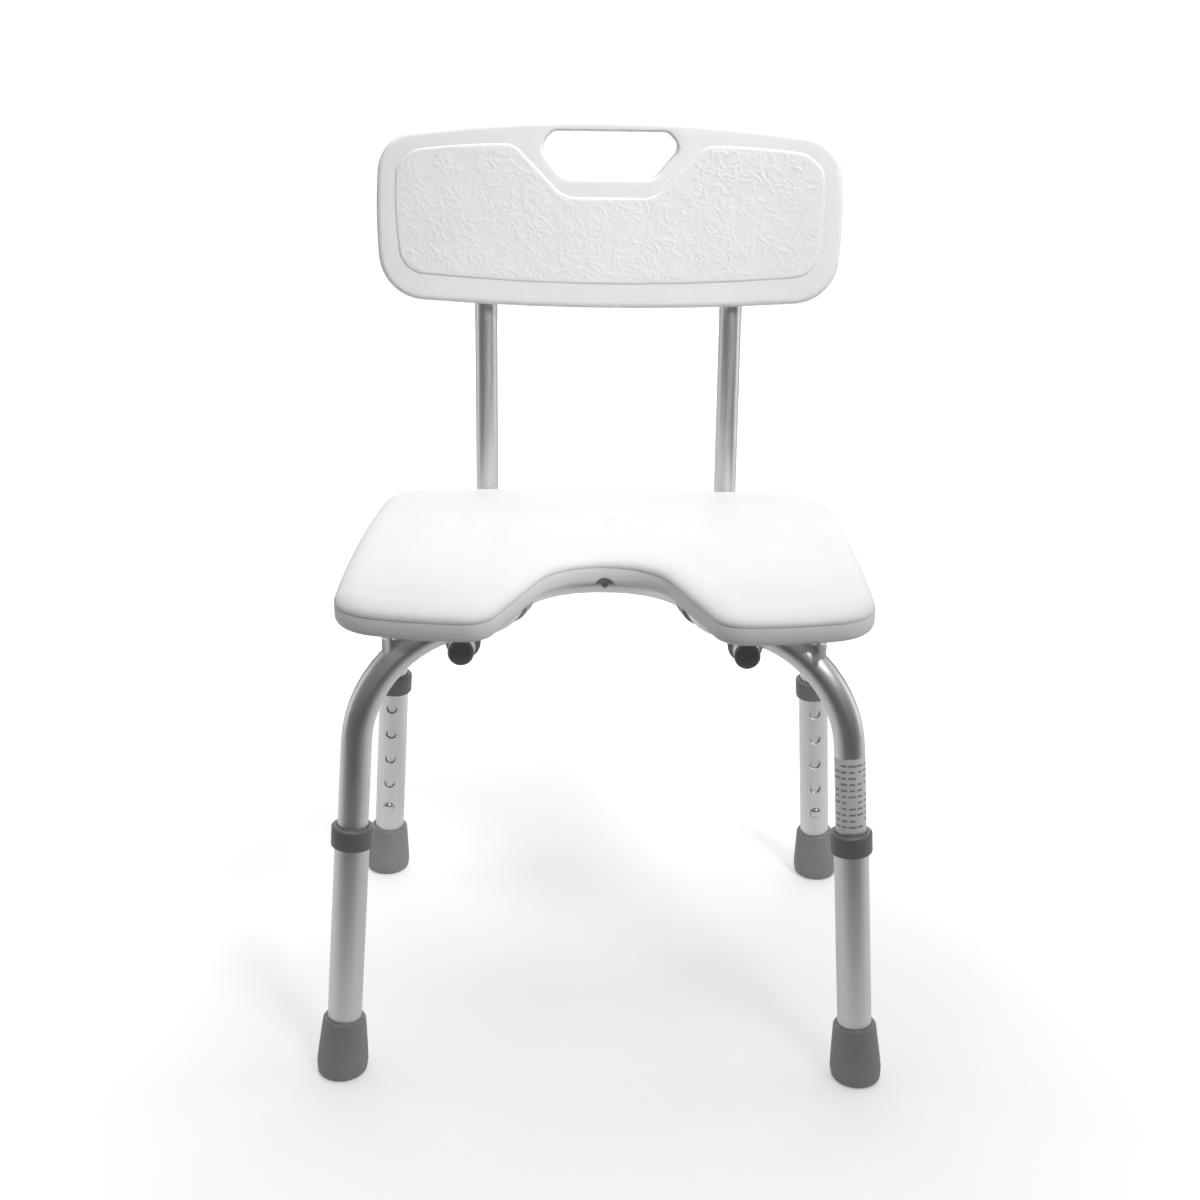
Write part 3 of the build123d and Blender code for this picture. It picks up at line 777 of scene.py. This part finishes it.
# --- frame tubes and posts --------------------------------------------------------------------
def build_tubes():
    for name, path in (("front", front_tube_path()), ("rear", rear_tube_path())):
        shell = Shell()
        sweep(shell, path, FRAME_R, wall=WALL)
        tube = new_object(f"{name}_tube", shell, materials["anodised_aluminium"])
        stand_for(tube, f"{name}_frame_tube", "frame")
    for name, side in SIDES.items():
        rise = POST_RISE * math.sin(RECLINE), POST_RISE * math.cos(RECLINE)
        corners = [
            (side * POST_X, POST_FRONT_Y, POST_Z),
            (side * POST_X, POST_REAR_Y, POST_Z),
            (side * POST_X, POST_REAR_Y + rise[0], POST_Z + rise[1]),
        ]
        shell = Shell()
        sweep(shell, bend_through(corners, [POST_BEND_R], steps=24), POST_R, wall=WALL)
        post = new_object(f"post_{name}", shell, materials["anodised_aluminium"])
        stand_for(post, f"back_post_{name}", "backrest")
        shell = Shell()
        stem = POST_R - WALL - 0.1
        profile = bend_through(
            [(stem, -PLUG_STEM), (stem, 0), (POST_R, 0), (POST_R, PLUG_RIM), (0, PLUG_DOME)],
            [0.05, 0.05, 3.4],
            steps=6,
        )
        lathe(shell, [(0, -PLUG_STEM), *profile])
        place = Matrix.Translation(corners[0]) @ Matrix.Rotation(math.pi / 2, 4, "X")
        plug = new_object(f"plug_{name}", shell, materials["plug_plastic"], place)
        stand_for(plug, f"post_plug_{name}", "backrest")


# --- backrest panel ---------------------------------------------------------------------------
def panel_matrix():
    s, c = math.sin(RECLINE), math.cos(RECLINE)
    place = Matrix(((1, 0, 0), (0, s, -c), (0, c, s))).to_4x4()
    place.translation = (0, POST_REAR_Y + PANEL_RISE * s, POST_Z + PANEL_RISE * c)
    return place


def panel_outline():
    return outline([
        (187.0, 137.9, 36, 4.5),
        (187.0, 8.5, 40, 7.5),
        (-187.0, 8.5, 40, 4.5),
        (-187.0, 137.9, 36, 14.5),
    ])


def handle_outline():
    return outline([
        (47.0, 142.8, 8, 0),
        (57.5, 131.5, 9, 0),
        (37.0, 107.3, 14, 0),
        (-37.0, 107.3, 14, 0),
        (-57.5, 131.5, 9, 0),
        (-47.0, 142.8, 8, 0),
    ])


def pad_outline():
    half = [
        (78.0, 132.5, 18, 1.5),
        (160.0, 127.3, 16, 0),
        (174.5, 115.0, 16, 2.8),
        (170.5, 29.3, 22, 8.5),
    ]
    left = [
        (-170.5, 29.3, 22, 2.8),
        (-174.5, 115.0, 16, 0),
        (-160.0, 127.3, 16, 1.5),
        (-78.0, 132.5, 18, 0),
    ]
    return outline(half + left + [(-37.0, 90.7, 24, 0), (37.0, 90.7, 24, 0)])


def build_panel():
    shell = Shell()
    edge = resample(panel_outline(), 3.0, closed=True)
    handle = resample(handle_outline(), 1.6, closed=True)

    under_bar = smooth((handle[:, 1] - 122) / 14)
    handle_round = HANDLE_ROUND + (HANDLE_TOP_ROUND - HANDLE_ROUND) * under_bar

    def ring(loop, distance, z):
        flat = inset(loop, distance)
        return shell.add(np.column_stack([flat, np.full(len(flat), z)]))

    quarter = np.linspace(0, math.pi / 2, 8)
    outer = []
    for a in quarter:
        z = PANEL_BACK + PANEL_ROUND * (1 - math.sin(a))
        outer.insert(0, ring(edge, PANEL_ROUND * (1 - math.cos(a)), z))
    for a in quarter:
        z = PANEL_FACE - PANEL_ROUND * (1 - math.sin(a))
        outer.append(ring(edge, PANEL_ROUND * (1 - math.cos(a)), z))
    hole = []
    for a in quarter:
        z = PANEL_BACK + HANDLE_ROUND * (1 - math.sin(a))
        hole.insert(0, ring(handle, -handle_round * (1 - math.cos(a)), z))
    for a in quarter:
        z = PANEL_FACE - HANDLE_ROUND * (1 - math.sin(a))
        hole.append(ring(handle, -handle_round * (1 - math.cos(a)), z))
    shell.bands(outer)
    shell.bands(hole)
    shell.fill([outer[0], hole[0]], lambda x, y: np.full(len(x), PANEL_BACK), 9.0)
    shell.fill([outer[-1], hole[-1]], lambda x, y: np.full(len(x), PANEL_FACE), 6.0)
    panel = new_object("panel_moulding", shell, materials["moulded_plastic"], panel_matrix())
    cutters = []
    for side in SIDES.values():
        cutters.append(new_object("groove", post_groove(side), None, panel_matrix()))
    carve(panel, cutters)
    join(panel, new_object("pad", pad_shell(), None, panel_matrix(), sharp=60.0))
    return stand_for(panel, "backrest_panel", "backrest")


def post_groove(side):
    """Solid for the groove that holds a post: half round, and open to the panel's back."""
    reach = POST_R + TUBE_GAP
    section = [(reach * math.cos(a), reach * math.sin(a)) for a in np.linspace(0, math.pi, 25)]
    section += [(-reach, -2 * reach), (reach, -2 * reach)]
    shell = Shell()
    rows = []
    for y in (-20.0, POST_RISE - PANEL_RISE + 1):
        rows.append(shell.add([(side * POST_X + u, y, v) for u, v in section]))
    shell.bands(rows)
    shell.faces += [tuple(rows[0]), tuple(rows[1])]
    return shell


VEIN_STEP = 0.4               # cell of the map on which the pad's veins are drawn
VEIN_HEIGHT = 0.5
VEIN_WIDTH = 0.62
VEIN_COUNT = 1050
VEIN_LONGEST = 22.0
VEIN_PACE = 0.45              # distance between the dabs that make up a vein
VEIN_FADE = 2.5               # the relief dies away over this distance from the pad's rim
PAD_GRID = 0.85               # spacing of the points that carry the relief


def vein_map():
    """Relief of the pad: twig-like veins, drawn stroke by stroke on a fine map. Returns a
    function of (x, y)."""
    rng = np.random.default_rng(7)
    low, high = np.array([-180.0, 15.0]), np.array([180.0, 140.0])
    size = np.ceil((high - low) / VEIN_STEP).astype(int)
    relief = np.zeros(size)

    def draw(points, width, height):
        for (x, y), h in zip(points, height):
            reach = int(3 * width / VEIN_STEP) + 1
            i, j = ((np.array([x, y]) - low) / VEIN_STEP).astype(int)
            i0, i1 = max(i - reach, 0), min(i + reach + 1, size[0])
            j0, j1 = max(j - reach, 0), min(j + reach + 1, size[1])
            if i0 >= i1 or j0 >= j1:
                continue
            u = low[0] + (np.arange(i0, i1) + 0.5) * VEIN_STEP - x
            v = low[1] + (np.arange(j0, j1) + 0.5) * VEIN_STEP - y
            bump = h * np.exp(-((u[:, None] ** 2 + v[None, :] ** 2) / width**2))
            relief[i0:i1, j0:j1] = np.maximum(relief[i0:i1, j0:j1], bump)

    def twig(start, heading, length, width, height, forks):
        count = max(4, int(length / VEIN_PACE))
        turn = rng.normal(0, 0.05) + np.cumsum(rng.normal(0, 0.02, count))
        angles = heading + np.cumsum(turn) * VEIN_PACE
        steps = np.column_stack([np.cos(angles), np.sin(angles)]) * VEIN_PACE
        points = start + np.cumsum(steps, axis=0)
        taper = np.sin(np.linspace(0.25, math.pi, count)) ** 0.6
        draw(points, width, height * taper)
        for _ in range(forks):
            at = rng.integers(count // 5, count)
            fork = angles[at] + rng.choice([-1, 1]) * rng.uniform(0.35, 1.1)
            share = rng.uniform(0.3, 0.7)
            twig(points[at], fork, length * share, width * 0.9, height * 0.9, 0)

    for _ in range(VEIN_COUNT):
        start = low + rng.random(2) * (high - low)
        heading = rng.uniform(0, 2 * math.pi)
        length = 3.5 + rng.exponential(5.5)
        height = VEIN_HEIGHT * rng.uniform(0.5, 1.0)
        twins = rng.choice([1, 1, 2, 3])
        aside = np.array([-math.sin(heading), math.cos(heading)]) * rng.uniform(1.8, 2.8)
        for k in range(twins):
            shift = aside * k + rng.normal(0, 0.5, 2)
            turned = heading + rng.normal(0, 0.25)
            forks = rng.integers(0, 4)
            twig(start + shift, turned, min(length, VEIN_LONGEST), VEIN_WIDTH, height, forks)

    def height(x, y):
        i = np.clip((x - low[0]) / VEIN_STEP - 0.5, 0, size[0] - 2)
        j = np.clip((y - low[1]) / VEIN_STEP - 0.5, 0, size[1] - 2)
        i0, j0 = i.astype(int), j.astype(int)
        fi, fj = i - i0, j - j0
        near = relief[i0, j0] * (1 - fj) + relief[i0, j0 + 1] * fj
        far = relief[i0 + 1, j0] * (1 - fj) + relief[i0 + 1, j0 + 1] * fj
        return near * (1 - fi) + far * fi

    return height


def pad_shell():
    """Raised pad with a bevelled border and a relief of veins."""
    edge = resample(pad_outline(), 1.2, closed=True)
    shell = Shell()
    face = PANEL_FACE + PAD_PROUD - VEIN_HEIGHT
    bevel = (
        (0.0, PANEL_FACE - 0.8), (0.0, PANEL_FACE), (0.35, PANEL_FACE + 0.45),
        (0.9, face - 0.3), (1.5, face),
    )
    rows = []
    for distance, z in bevel:
        loop = inset(edge, distance)
        rows.append(shell.add(np.column_stack([loop, np.full(len(loop), z)])))
    shell.bands(rows)
    rim = np.array([shell.points[k][:2] for k in rows[-1]])
    veins = vein_map()

    def height(x, y):
        edge_fade = smooth(distance_to(np.column_stack([x, y]), rim) / VEIN_FADE)
        return face + veins(x, y) * edge_fade

    shell.fill([rows[-1]], height, PAD_GRID)
    shell.faces.append(tuple(rows[0]))
    return shell


# --- legs -------------------------------------------------------------------------------------
def leg_matrix(side_x, side_y):
    """Local frame of one leg: origin on the floor, +Z up the tube, +Y towards the holes."""
    foot_x = FRONT_FOOT_X if side_y < 0 else REAR_FOOT_X
    up = Vector((-side_x * LEAN, -side_y * LEAN, 1)).normalized()
    across = Vector((0, -side_y, 0)).cross(up).normalized()
    place = Matrix((across, up.cross(across), up)).transposed().to_4x4()
    place.translation = (side_x * foot_x, side_y * FOOT_Y, 0)
    return place


SEGMENTS = 48
PATCH = 4                     # columns and rows of the wall on each side of a hole's middle


def holed_wall(shell, radius, holes, bore):
    """Round wall from the leg's bottom to its top. Each hole is a run of rings, given by the
    bore as (radius, depth) and widest first. Returns the rows of the wall, and the last ring
    of every hole."""
    cell = 2 * math.pi * LEG_R / SEGMENTS
    levels = [LEG_BOTTOM]
    for hole in holes:
        levels += [hole + j * cell for j in range(-PATCH, PATCH + 1)]
    levels.append(LEG_TOP)
    rows = [shell.add(ring_round(radius, z, SEGMENTS, math.pi / 2)) for z in levels]
    covered = {1 + n * (2 * PATCH + 1) + j for n in range(len(holes)) for j in range(2 * PATCH)}
    for number, (lower, upper) in enumerate(zip(rows, rows[1:])):
        for k in range(SEGMENTS):
            beside = min(k, SEGMENTS - 1 - k)
            if number in covered and beside < PATCH:
                continue
            n = (k + 1) % SEGMENTS
            shell.faces.append((lower[k], lower[n], upper[n], upper[k]))
    rims = []
    for number, hole in enumerate(holes):
        first = 1 + number * (2 * PATCH + 1)
        border = [(PATCH, j) for j in range(-PATCH, PATCH)]
        border += [(i, PATCH) for i in range(PATCH, -PATCH, -1)]
        border += [(-PATCH, j) for j in range(PATCH, -PATCH, -1)]
        border += [(i, -PATCH) for i in range(-PATCH, PATCH)]
        previous = [rows[first + PATCH + j][-i % SEGMENTS] for i, j in border]
        angles = [math.atan2(j, i) for i, j in border]
        for size, depth in bore:
            depth_radius = radius - depth
            loop = []
            for a in angles:
                x, z = size * math.cos(a), size * math.sin(a)
                loop.append((x, math.sqrt(depth_radius**2 - x**2), hole + z))
            current = shell.add(loop)
            shell.band(previous, current)
            previous = current
        rims.append(previous)
    return rows, rims


def build_leg(name, side_x, side_y):
    place = leg_matrix(side_x, side_y)
    body = f"leg_{name}"
    holes = [HOLE_FIRST + k * HOLE_PITCH for k in range(HOLE_COUNT)]
    shell = Shell()
    outer_bore = ((HOLE_R + 0.9, 0), (HOLE_R + 0.2, 0), (HOLE_R, 0.2))
    inner_bore = ((HOLE_R + 0.9, 0), (HOLE_R, 0))
    outer, outer_rims = holed_wall(shell, LEG_R, holes, outer_bore)
    inner, inner_rims = holed_wall(shell, LEG_R - WALL, holes, inner_bore)
    for here, there in zip(outer_rims, inner_rims):
        shell.band(here, there)
    shell.band(outer[0], inner[0])
    shell.band(outer[-1], inner[-1])
    tube = new_object(f"tube_{name}", shell, materials["anodised_aluminium"], place)
    stand_for(tube, f"leg_tube_{name}", body)

    shell = Shell()
    lip = FRAME_R + 0.3
    on_tube = LEG_R + 0.1
    section = bend_through(
        [
            (on_tube, COLLAR_BOTTOM + 3), (on_tube, COLLAR_BOTTOM), (COLLAR_R, COLLAR_BOTTOM),
            (COLLAR_R, COLLAR_TOP - 0.9), (COLLAR_R - 1.5, COLLAR_TOP), (lip, COLLAR_TOP),
            (lip, LEG_TOP + 0.1), (on_tube, LEG_TOP + 0.1), (on_tube, COLLAR_BOTTOM + 3.5),
        ],
        [0.3, 1.4, 0.5, 0.4, 0.6, 0.2, 0.2],
        steps=5,
    )
    lathe(shell, section, closed=True)
    collar = new_object(f"collar_{name}", shell, materials["collar_plastic"], place)
    stand_for(collar, f"leg_collar_{name}", body)

    foot = new_object(f"foot_{name}", foot_shell(place), materials["foot_rubber"], place)
    stand_for(foot, f"leg_foot_{name}", body)

    shell = Shell()
    shoulder = BUTTON_TIP - BUTTON_DOME
    profile = [(BUTTON_R, BUTTON_FOOT), (BUTTON_R, shoulder)]
    for a in np.linspace(0, math.pi / 2, 14)[1:]:
        profile.append((BUTTON_R * math.cos(a), shoulder + BUTTON_DOME * math.sin(a)))
    lathe(shell, [(0, BUTTON_FOOT), *profile], 40)
    out = place @ Matrix.Translation((0, 0, HOLE_FIRST)) @ Matrix.Rotation(-math.pi / 2, 4, "X")
    button = new_object(f"button_{name}", shell, materials["button_chrome"], out)
    stand_for(button, f"snap_button_{name}", f"button_{name}")


def foot_profile():
    tread = [(0, 0)]
    for groove in (5.0, 10.5):
        tread += [(groove, 0), (groove + 0.3, 1.2), (groove + 1.7, 1.2), (groove + 2.0, 0)]
    skirt = bend_through(
        [
            (13.5, 0), (FOOT_BASE_R - 0.9, 0), (FOOT_BASE_R, 8.5), (FOOT_BASE_R - 0.7, 18),
            (FOOT_TOP_R + 0.15, FOOT_TOP - 1.6), (FOOT_TOP_R - 0.9, FOOT_TOP),
            (LEG_R + 0.05, FOOT_TOP), (LEG_R + 0.05, 6.0), (0, 6.0),
        ],
        [3.0, 14, 60, 0.9, 0.5, 0.4, 0.1],
        steps=8,
    )
    return tread + skirt.tolist()


def foot_shell(place):
    """Rubber tip whose tread is flat on the floor although the leg leans."""
    shell = Shell()
    lathe(shell, foot_profile(), 96)
    back = place.inverted()
    turned = []
    for point in shell.points:
        here = place @ Vector(point)
        share = float(smooth(point[2] / 16.0))
        here.z = point[2] * (1 - share) + here.z * share
        turned.append(tuple(back @ here))
    shell.points = turned
    return shell


# --- label on the front right-hand frame tube -------------------------------------------------
LABEL_SKIN = 0.11
LABEL_WRAP = math.radians(81.0)     # how far the film reaches round the tube on each side
LABEL_CELLS = 40                    # quads across the film
INK_SKIN = 0.03
PRINT_SIZES = {
    "Columns": 5,
    "Rows": 11,
    "Width": 24.0,
    "Height": 47.0,
    "Radius": FRAME_R + LABEL_SKIN,
    "Bar": 1.5,
    "Skin": INK_SKIN,
    "Seed": 4,
}
SHORTEST_BAR = 0.45                 # as a share of the distance between columns
LONGEST_BAR = 1.05
BARS_KEPT = 0.8


def label_lines():
    """Node tree: rows of bars of random length, standing for print, wrapped round a tube."""
    tree = bpy.data.node_groups.new("label_lines", "GeometryNodeTree")
    face = tree.interface
    face.new_socket("Geometry", in_out="INPUT", socket_type="NodeSocketGeometry")
    for name, value in PRINT_SIZES.items():
        kind = "NodeSocketInt" if isinstance(value, int) else "NodeSocketFloat"
        face.new_socket(name, in_out="INPUT", socket_type=kind)
    face.new_socket("Material", in_out="INPUT", socket_type="NodeSocketMaterial")
    face.new_socket("Geometry", in_out="OUTPUT", socket_type="NodeSocketGeometry")

    def node(kind, inputs=None, **settings):
        made = tree.nodes.new(kind)
        for key, value in settings.items():
            setattr(made, key, value)
        for key, value in (inputs or {}).items():
            if isinstance(value, bpy.types.NodeSocket):
                tree.links.new(value, made.inputs[key])
            else:
                made.inputs[key].default_value = value
        return made.outputs

    def calc(operation, first, second=0.0):
        return node("ShaderNodeMath", {0: first, 1: second}, operation=operation)[0]

    def enabled(outputs):
        return next(output for output in outputs if output.enabled)

    given = tree.nodes.new("NodeGroupInput").outputs
    spots = node("GeometryNodeMeshGrid", {
        "Size X": given["Width"], "Size Y": given["Height"],
        "Vertices X": given["Columns"], "Vertices Y": given["Rows"],
    })[0]
    bar = node("GeometryNodeMeshCube", {"Vertices X": 6, "Vertices Y": 2, "Vertices Z": 2})[0]
    gap = calc("DIVIDE", given["Width"], calc("SUBTRACT", given["Columns"], 1.0))
    length = enabled(node("FunctionNodeRandomValue", {
        "Min": calc("MULTIPLY", gap, SHORTEST_BAR), "Max": calc("MULTIPLY", gap, LONGEST_BAR),
        "Seed": given["Seed"],
    }, data_type="FLOAT"))
    kept = enabled(node("FunctionNodeRandomValue", {
        "Probability": BARS_KEPT, "Seed": given["Seed"],
    }, data_type="BOOLEAN"))
    size = node("ShaderNodeCombineXYZ", {"X": length, "Y": given["Bar"], "Z": given["Skin"]})[0]
    bars = node("GeometryNodeInstanceOnPoints", {
        "Points": spots, "Selection": kept, "Instance": bar, "Scale": size,
    })[0]
    bars = node("GeometryNodeRealizeInstances", {"Geometry": bars})[0]
    flat = node("ShaderNodeSeparateXYZ", {0: node("GeometryNodeInputPosition")[0]})
    turn = calc("DIVIDE", flat["X"], given["Radius"])
    lift = calc("ADD", flat["Z"], calc("DIVIDE", given["Skin"], 2.0))
    reach = calc("ADD", given["Radius"], lift)
    wrapped = node("ShaderNodeCombineXYZ", {
        "X": calc("MULTIPLY", calc("SINE", turn), reach),
        "Y": calc("MULTIPLY", calc("COSINE", turn), calc("MULTIPLY", reach, -1.0)),
        "Z": flat["Y"],
    })[0]
    bars = node("GeometryNodeSetPosition", {"Geometry": bars, "Position": wrapped})[0]
    bars = node("GeometryNodeSetMaterial", {"Geometry": bars, "Material": given["Material"]})[0]
    result = tree.nodes.new("NodeGroupOutput")
    tree.links.new(bars, result.inputs["Geometry"])
    return tree


def label_film_shell():
    """Closed thin sheet on the front of the tube, in the frame of its leg."""
    shell = Shell()
    angles = np.linspace(-LABEL_WRAP, LABEL_WRAP, LABEL_CELLS + 1)
    outside = FRAME_R + LABEL_SKIN
    rows = []
    low, high = LABEL_BOTTOM, LABEL_TOP
    for radius, z in ((FRAME_R, high), (FRAME_R, low), (outside, low), (outside, high)):
        level = np.full(len(angles), z)
        curve = np.column_stack([radius * np.sin(angles), -radius * np.cos(angles), level])
        rows.append(shell.add(curve))
    shell.bands(rows + rows[:1], closed=False)
    shell.faces += [tuple(row[0] for row in rows), tuple(row[-1] for row in rows)]
    return shell


def build_label():
    place = leg_matrix(1, -1)
    film = new_object("label_film", label_film_shell(), materials["label_paper"], place)
    stand_for(film, "info_label", "frame")

    holder = bpy.data.objects.new("label_print", bpy.data.meshes.new("label_print"))
    bpy.context.scene.collection.objects.link(holder)
    lines = holder.modifiers.new("lines", "NODES")
    tree = label_lines()
    values = {**PRINT_SIZES, "Material": label_ink}
    names = {i.name: i.identifier for i in tree.interface.items_tree if i.in_out == "INPUT"}
    lines.node_group = tree
    for name, value in values.items():
        lines[names[name]] = value
    mesh = settle(holder)
    places = mesh.attributes.new("pattern", "FLOAT_VECTOR", "POINT")
    places.data.foreach_set("vector", np.array([v.co for v in mesh.vertices]).ravel() * MM)
    middle = Matrix.Translation((0, 0, (LABEL_BOTTOM + LABEL_TOP) / 2))
    shift = Matrix.Translation((0, MIDDLE_Y, 0)) @ Matrix.Scale(MM, 4)
    mesh.transform(shift @ place @ middle)
    face_outwards(mesh)
    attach(holder, "frame")


build_seat()
build_tubes()
build_panel()
build_label()
for leg_name, (leg_x, leg_y) in LEGS.items():
    build_leg(leg_name, leg_x, leg_y)

for entry in frame["record"]["subparts"]:
    node = frame["nodes"][entry["node"]]
    node.data.materials.clear()
    node.data.materials.append(materials[entry["material_slot"]])


# --- floor, light and camera ------------------------------------------------------------------
FLOOR_HALF = 90000.0
FLOOR_GLOW = 1.0
WORLD_LIGHT = 0.16
CAMERA_LENS = 50.25
CAMERA_SENSOR = 36.0
CAMERA_HEADING = 0.17         # degrees
CAMERA_DOWN = 20.5
CAMERA_ROLL = 0.65
CAMERA_AWAY = 1.2196          # metres in front of the feet's middle
CAMERA_HEIGHT = 0.7801


def build_floor():
    """Pale floor that glows for the camera, less near the chair. For light that bounces onto the
    chair its colour is painted dark in front of the chair, painted shade, and behind the chair it
    gives off a faint painted glow.
    """
    shell = Shell()
    size = FLOOR_HALF
    rim = shell.add([(-size, -size, 0), (size, -size, 0), (size, size, 0), (-size, size, 0)])
    shell.faces.append(tuple(rim))
    finish = Finish("studio_floor", Emission_Strength=FLOOR_GLOW)
    spot = finish.frame_place()
    cloud = finish.noise(spot, 2.0, 2.0)
    seen = finish.node("ShaderNodeLightPath", output="Is Camera Ray")
    depth = finish.node("ShaderNodeSeparateXYZ", {"Vector": spot}, output="Y")
    away = finish.node("ShaderNodeVectorMath", {0: spot}, output="Value", operation="LENGTH")
    # painted shade: for bounced light the floor turns dark in front of the chair
    fade = finish.spread(depth, 0, 1, -0.7, -0.25)
    painted_bounce_shade = finish.blend(fade, grey(0.05), grey(0.85))
    pale = finish.blend(finish.spread(cloud, 0, 1), grey(0.92), grey(0.94))
    colour = finish.mix_colour(seen, painted_bounce_shade, pale)
    glow = finish.blend(finish.spread(away, 0, 1, 0.3, 1.4), grey(0.34), grey(1.0))
    # painted light: a faint glow behind the chair, given off only to bounced rays
    painted_glow_behind = finish.blend(fade, grey(0.0), grey(0.07))
    emission = finish.mix_colour(seen, painted_glow_behind, glow)
    finish.feed(finish.shader.inputs["Emission Color"], emission)
    material = finish.finish_with(colour, finish.spread(cloud, 0.8, 0.9))
    new_object("studio_floor", shell, material)


def add_area(name, place, target, size, power, spread=180.0):
    data = bpy.data.lights.new(name, "AREA")
    data.shape = "RECTANGLE"
    data.size, data.size_y = size
    data.energy = power
    data.spread = math.radians(spread)
    light = bpy.data.objects.new(name, data)
    light.location = place
    light.rotation_euler = (Vector(target) - Vector(place)).to_track_quat("-Z", "Y").to_euler()
    light.visible_camera = False
    bpy.context.scene.collection.objects.link(light)


def build_studio():
    build_floor()
    world = bpy.data.worlds.new("studio")
    world.use_nodes = True
    background = world.node_tree.nodes["Background"]
    background.inputs["Color"].default_value = (1.0, 1.0, 1.0, 1.0)
    background.inputs["Strength"].default_value = WORLD_LIGHT
    bpy.context.scene.world = world
    bpy.context.scene.view_settings.view_transform = "Standard"
    add_area("overhead", (0.0, 0.25, 2.1), (0, 0.1, 0.3), (1.8, 1.8), 11, 130)
    add_area("backdrop", (0.0, 2.6, 0.9), (0, 0, 0.4), (3.4, 1.8), 22)
    add_area("panel_box", (0.8, -1.1, 1.9), (0, 0.2, 0.62), (0.6, 0.6), 2.0, 36)
    add_area("left_box", (-2.0, 0.4, 0.7), (0, 0, 0.3), (0.9, 1.4), 3.5)
    add_area("right_box", (2.0, 0.4, 0.7), (0, 0, 0.3), (0.9, 1.4), 5)


def build_camera():
    data = bpy.data.cameras.new("camera")
    data.lens = CAMERA_LENS
    data.sensor_width = CAMERA_SENSOR
    camera = bpy.data.objects.new("camera", data)
    turn = Matrix.Rotation(math.radians(CAMERA_HEADING), 4, "Z")
    turn = turn @ Matrix.Rotation(math.radians(90 - CAMERA_DOWN), 4, "X")
    turn = turn @ Matrix.Rotation(math.radians(CAMERA_ROLL), 4, "Z")
    place = Matrix.Translation((0, -CAMERA_AWAY + MIDDLE_Y, CAMERA_HEIGHT))
    camera.matrix_world = place @ turn
    bpy.context.scene.collection.objects.link(camera)
    bpy.context.scene.camera = camera


build_studio()
build_camera()
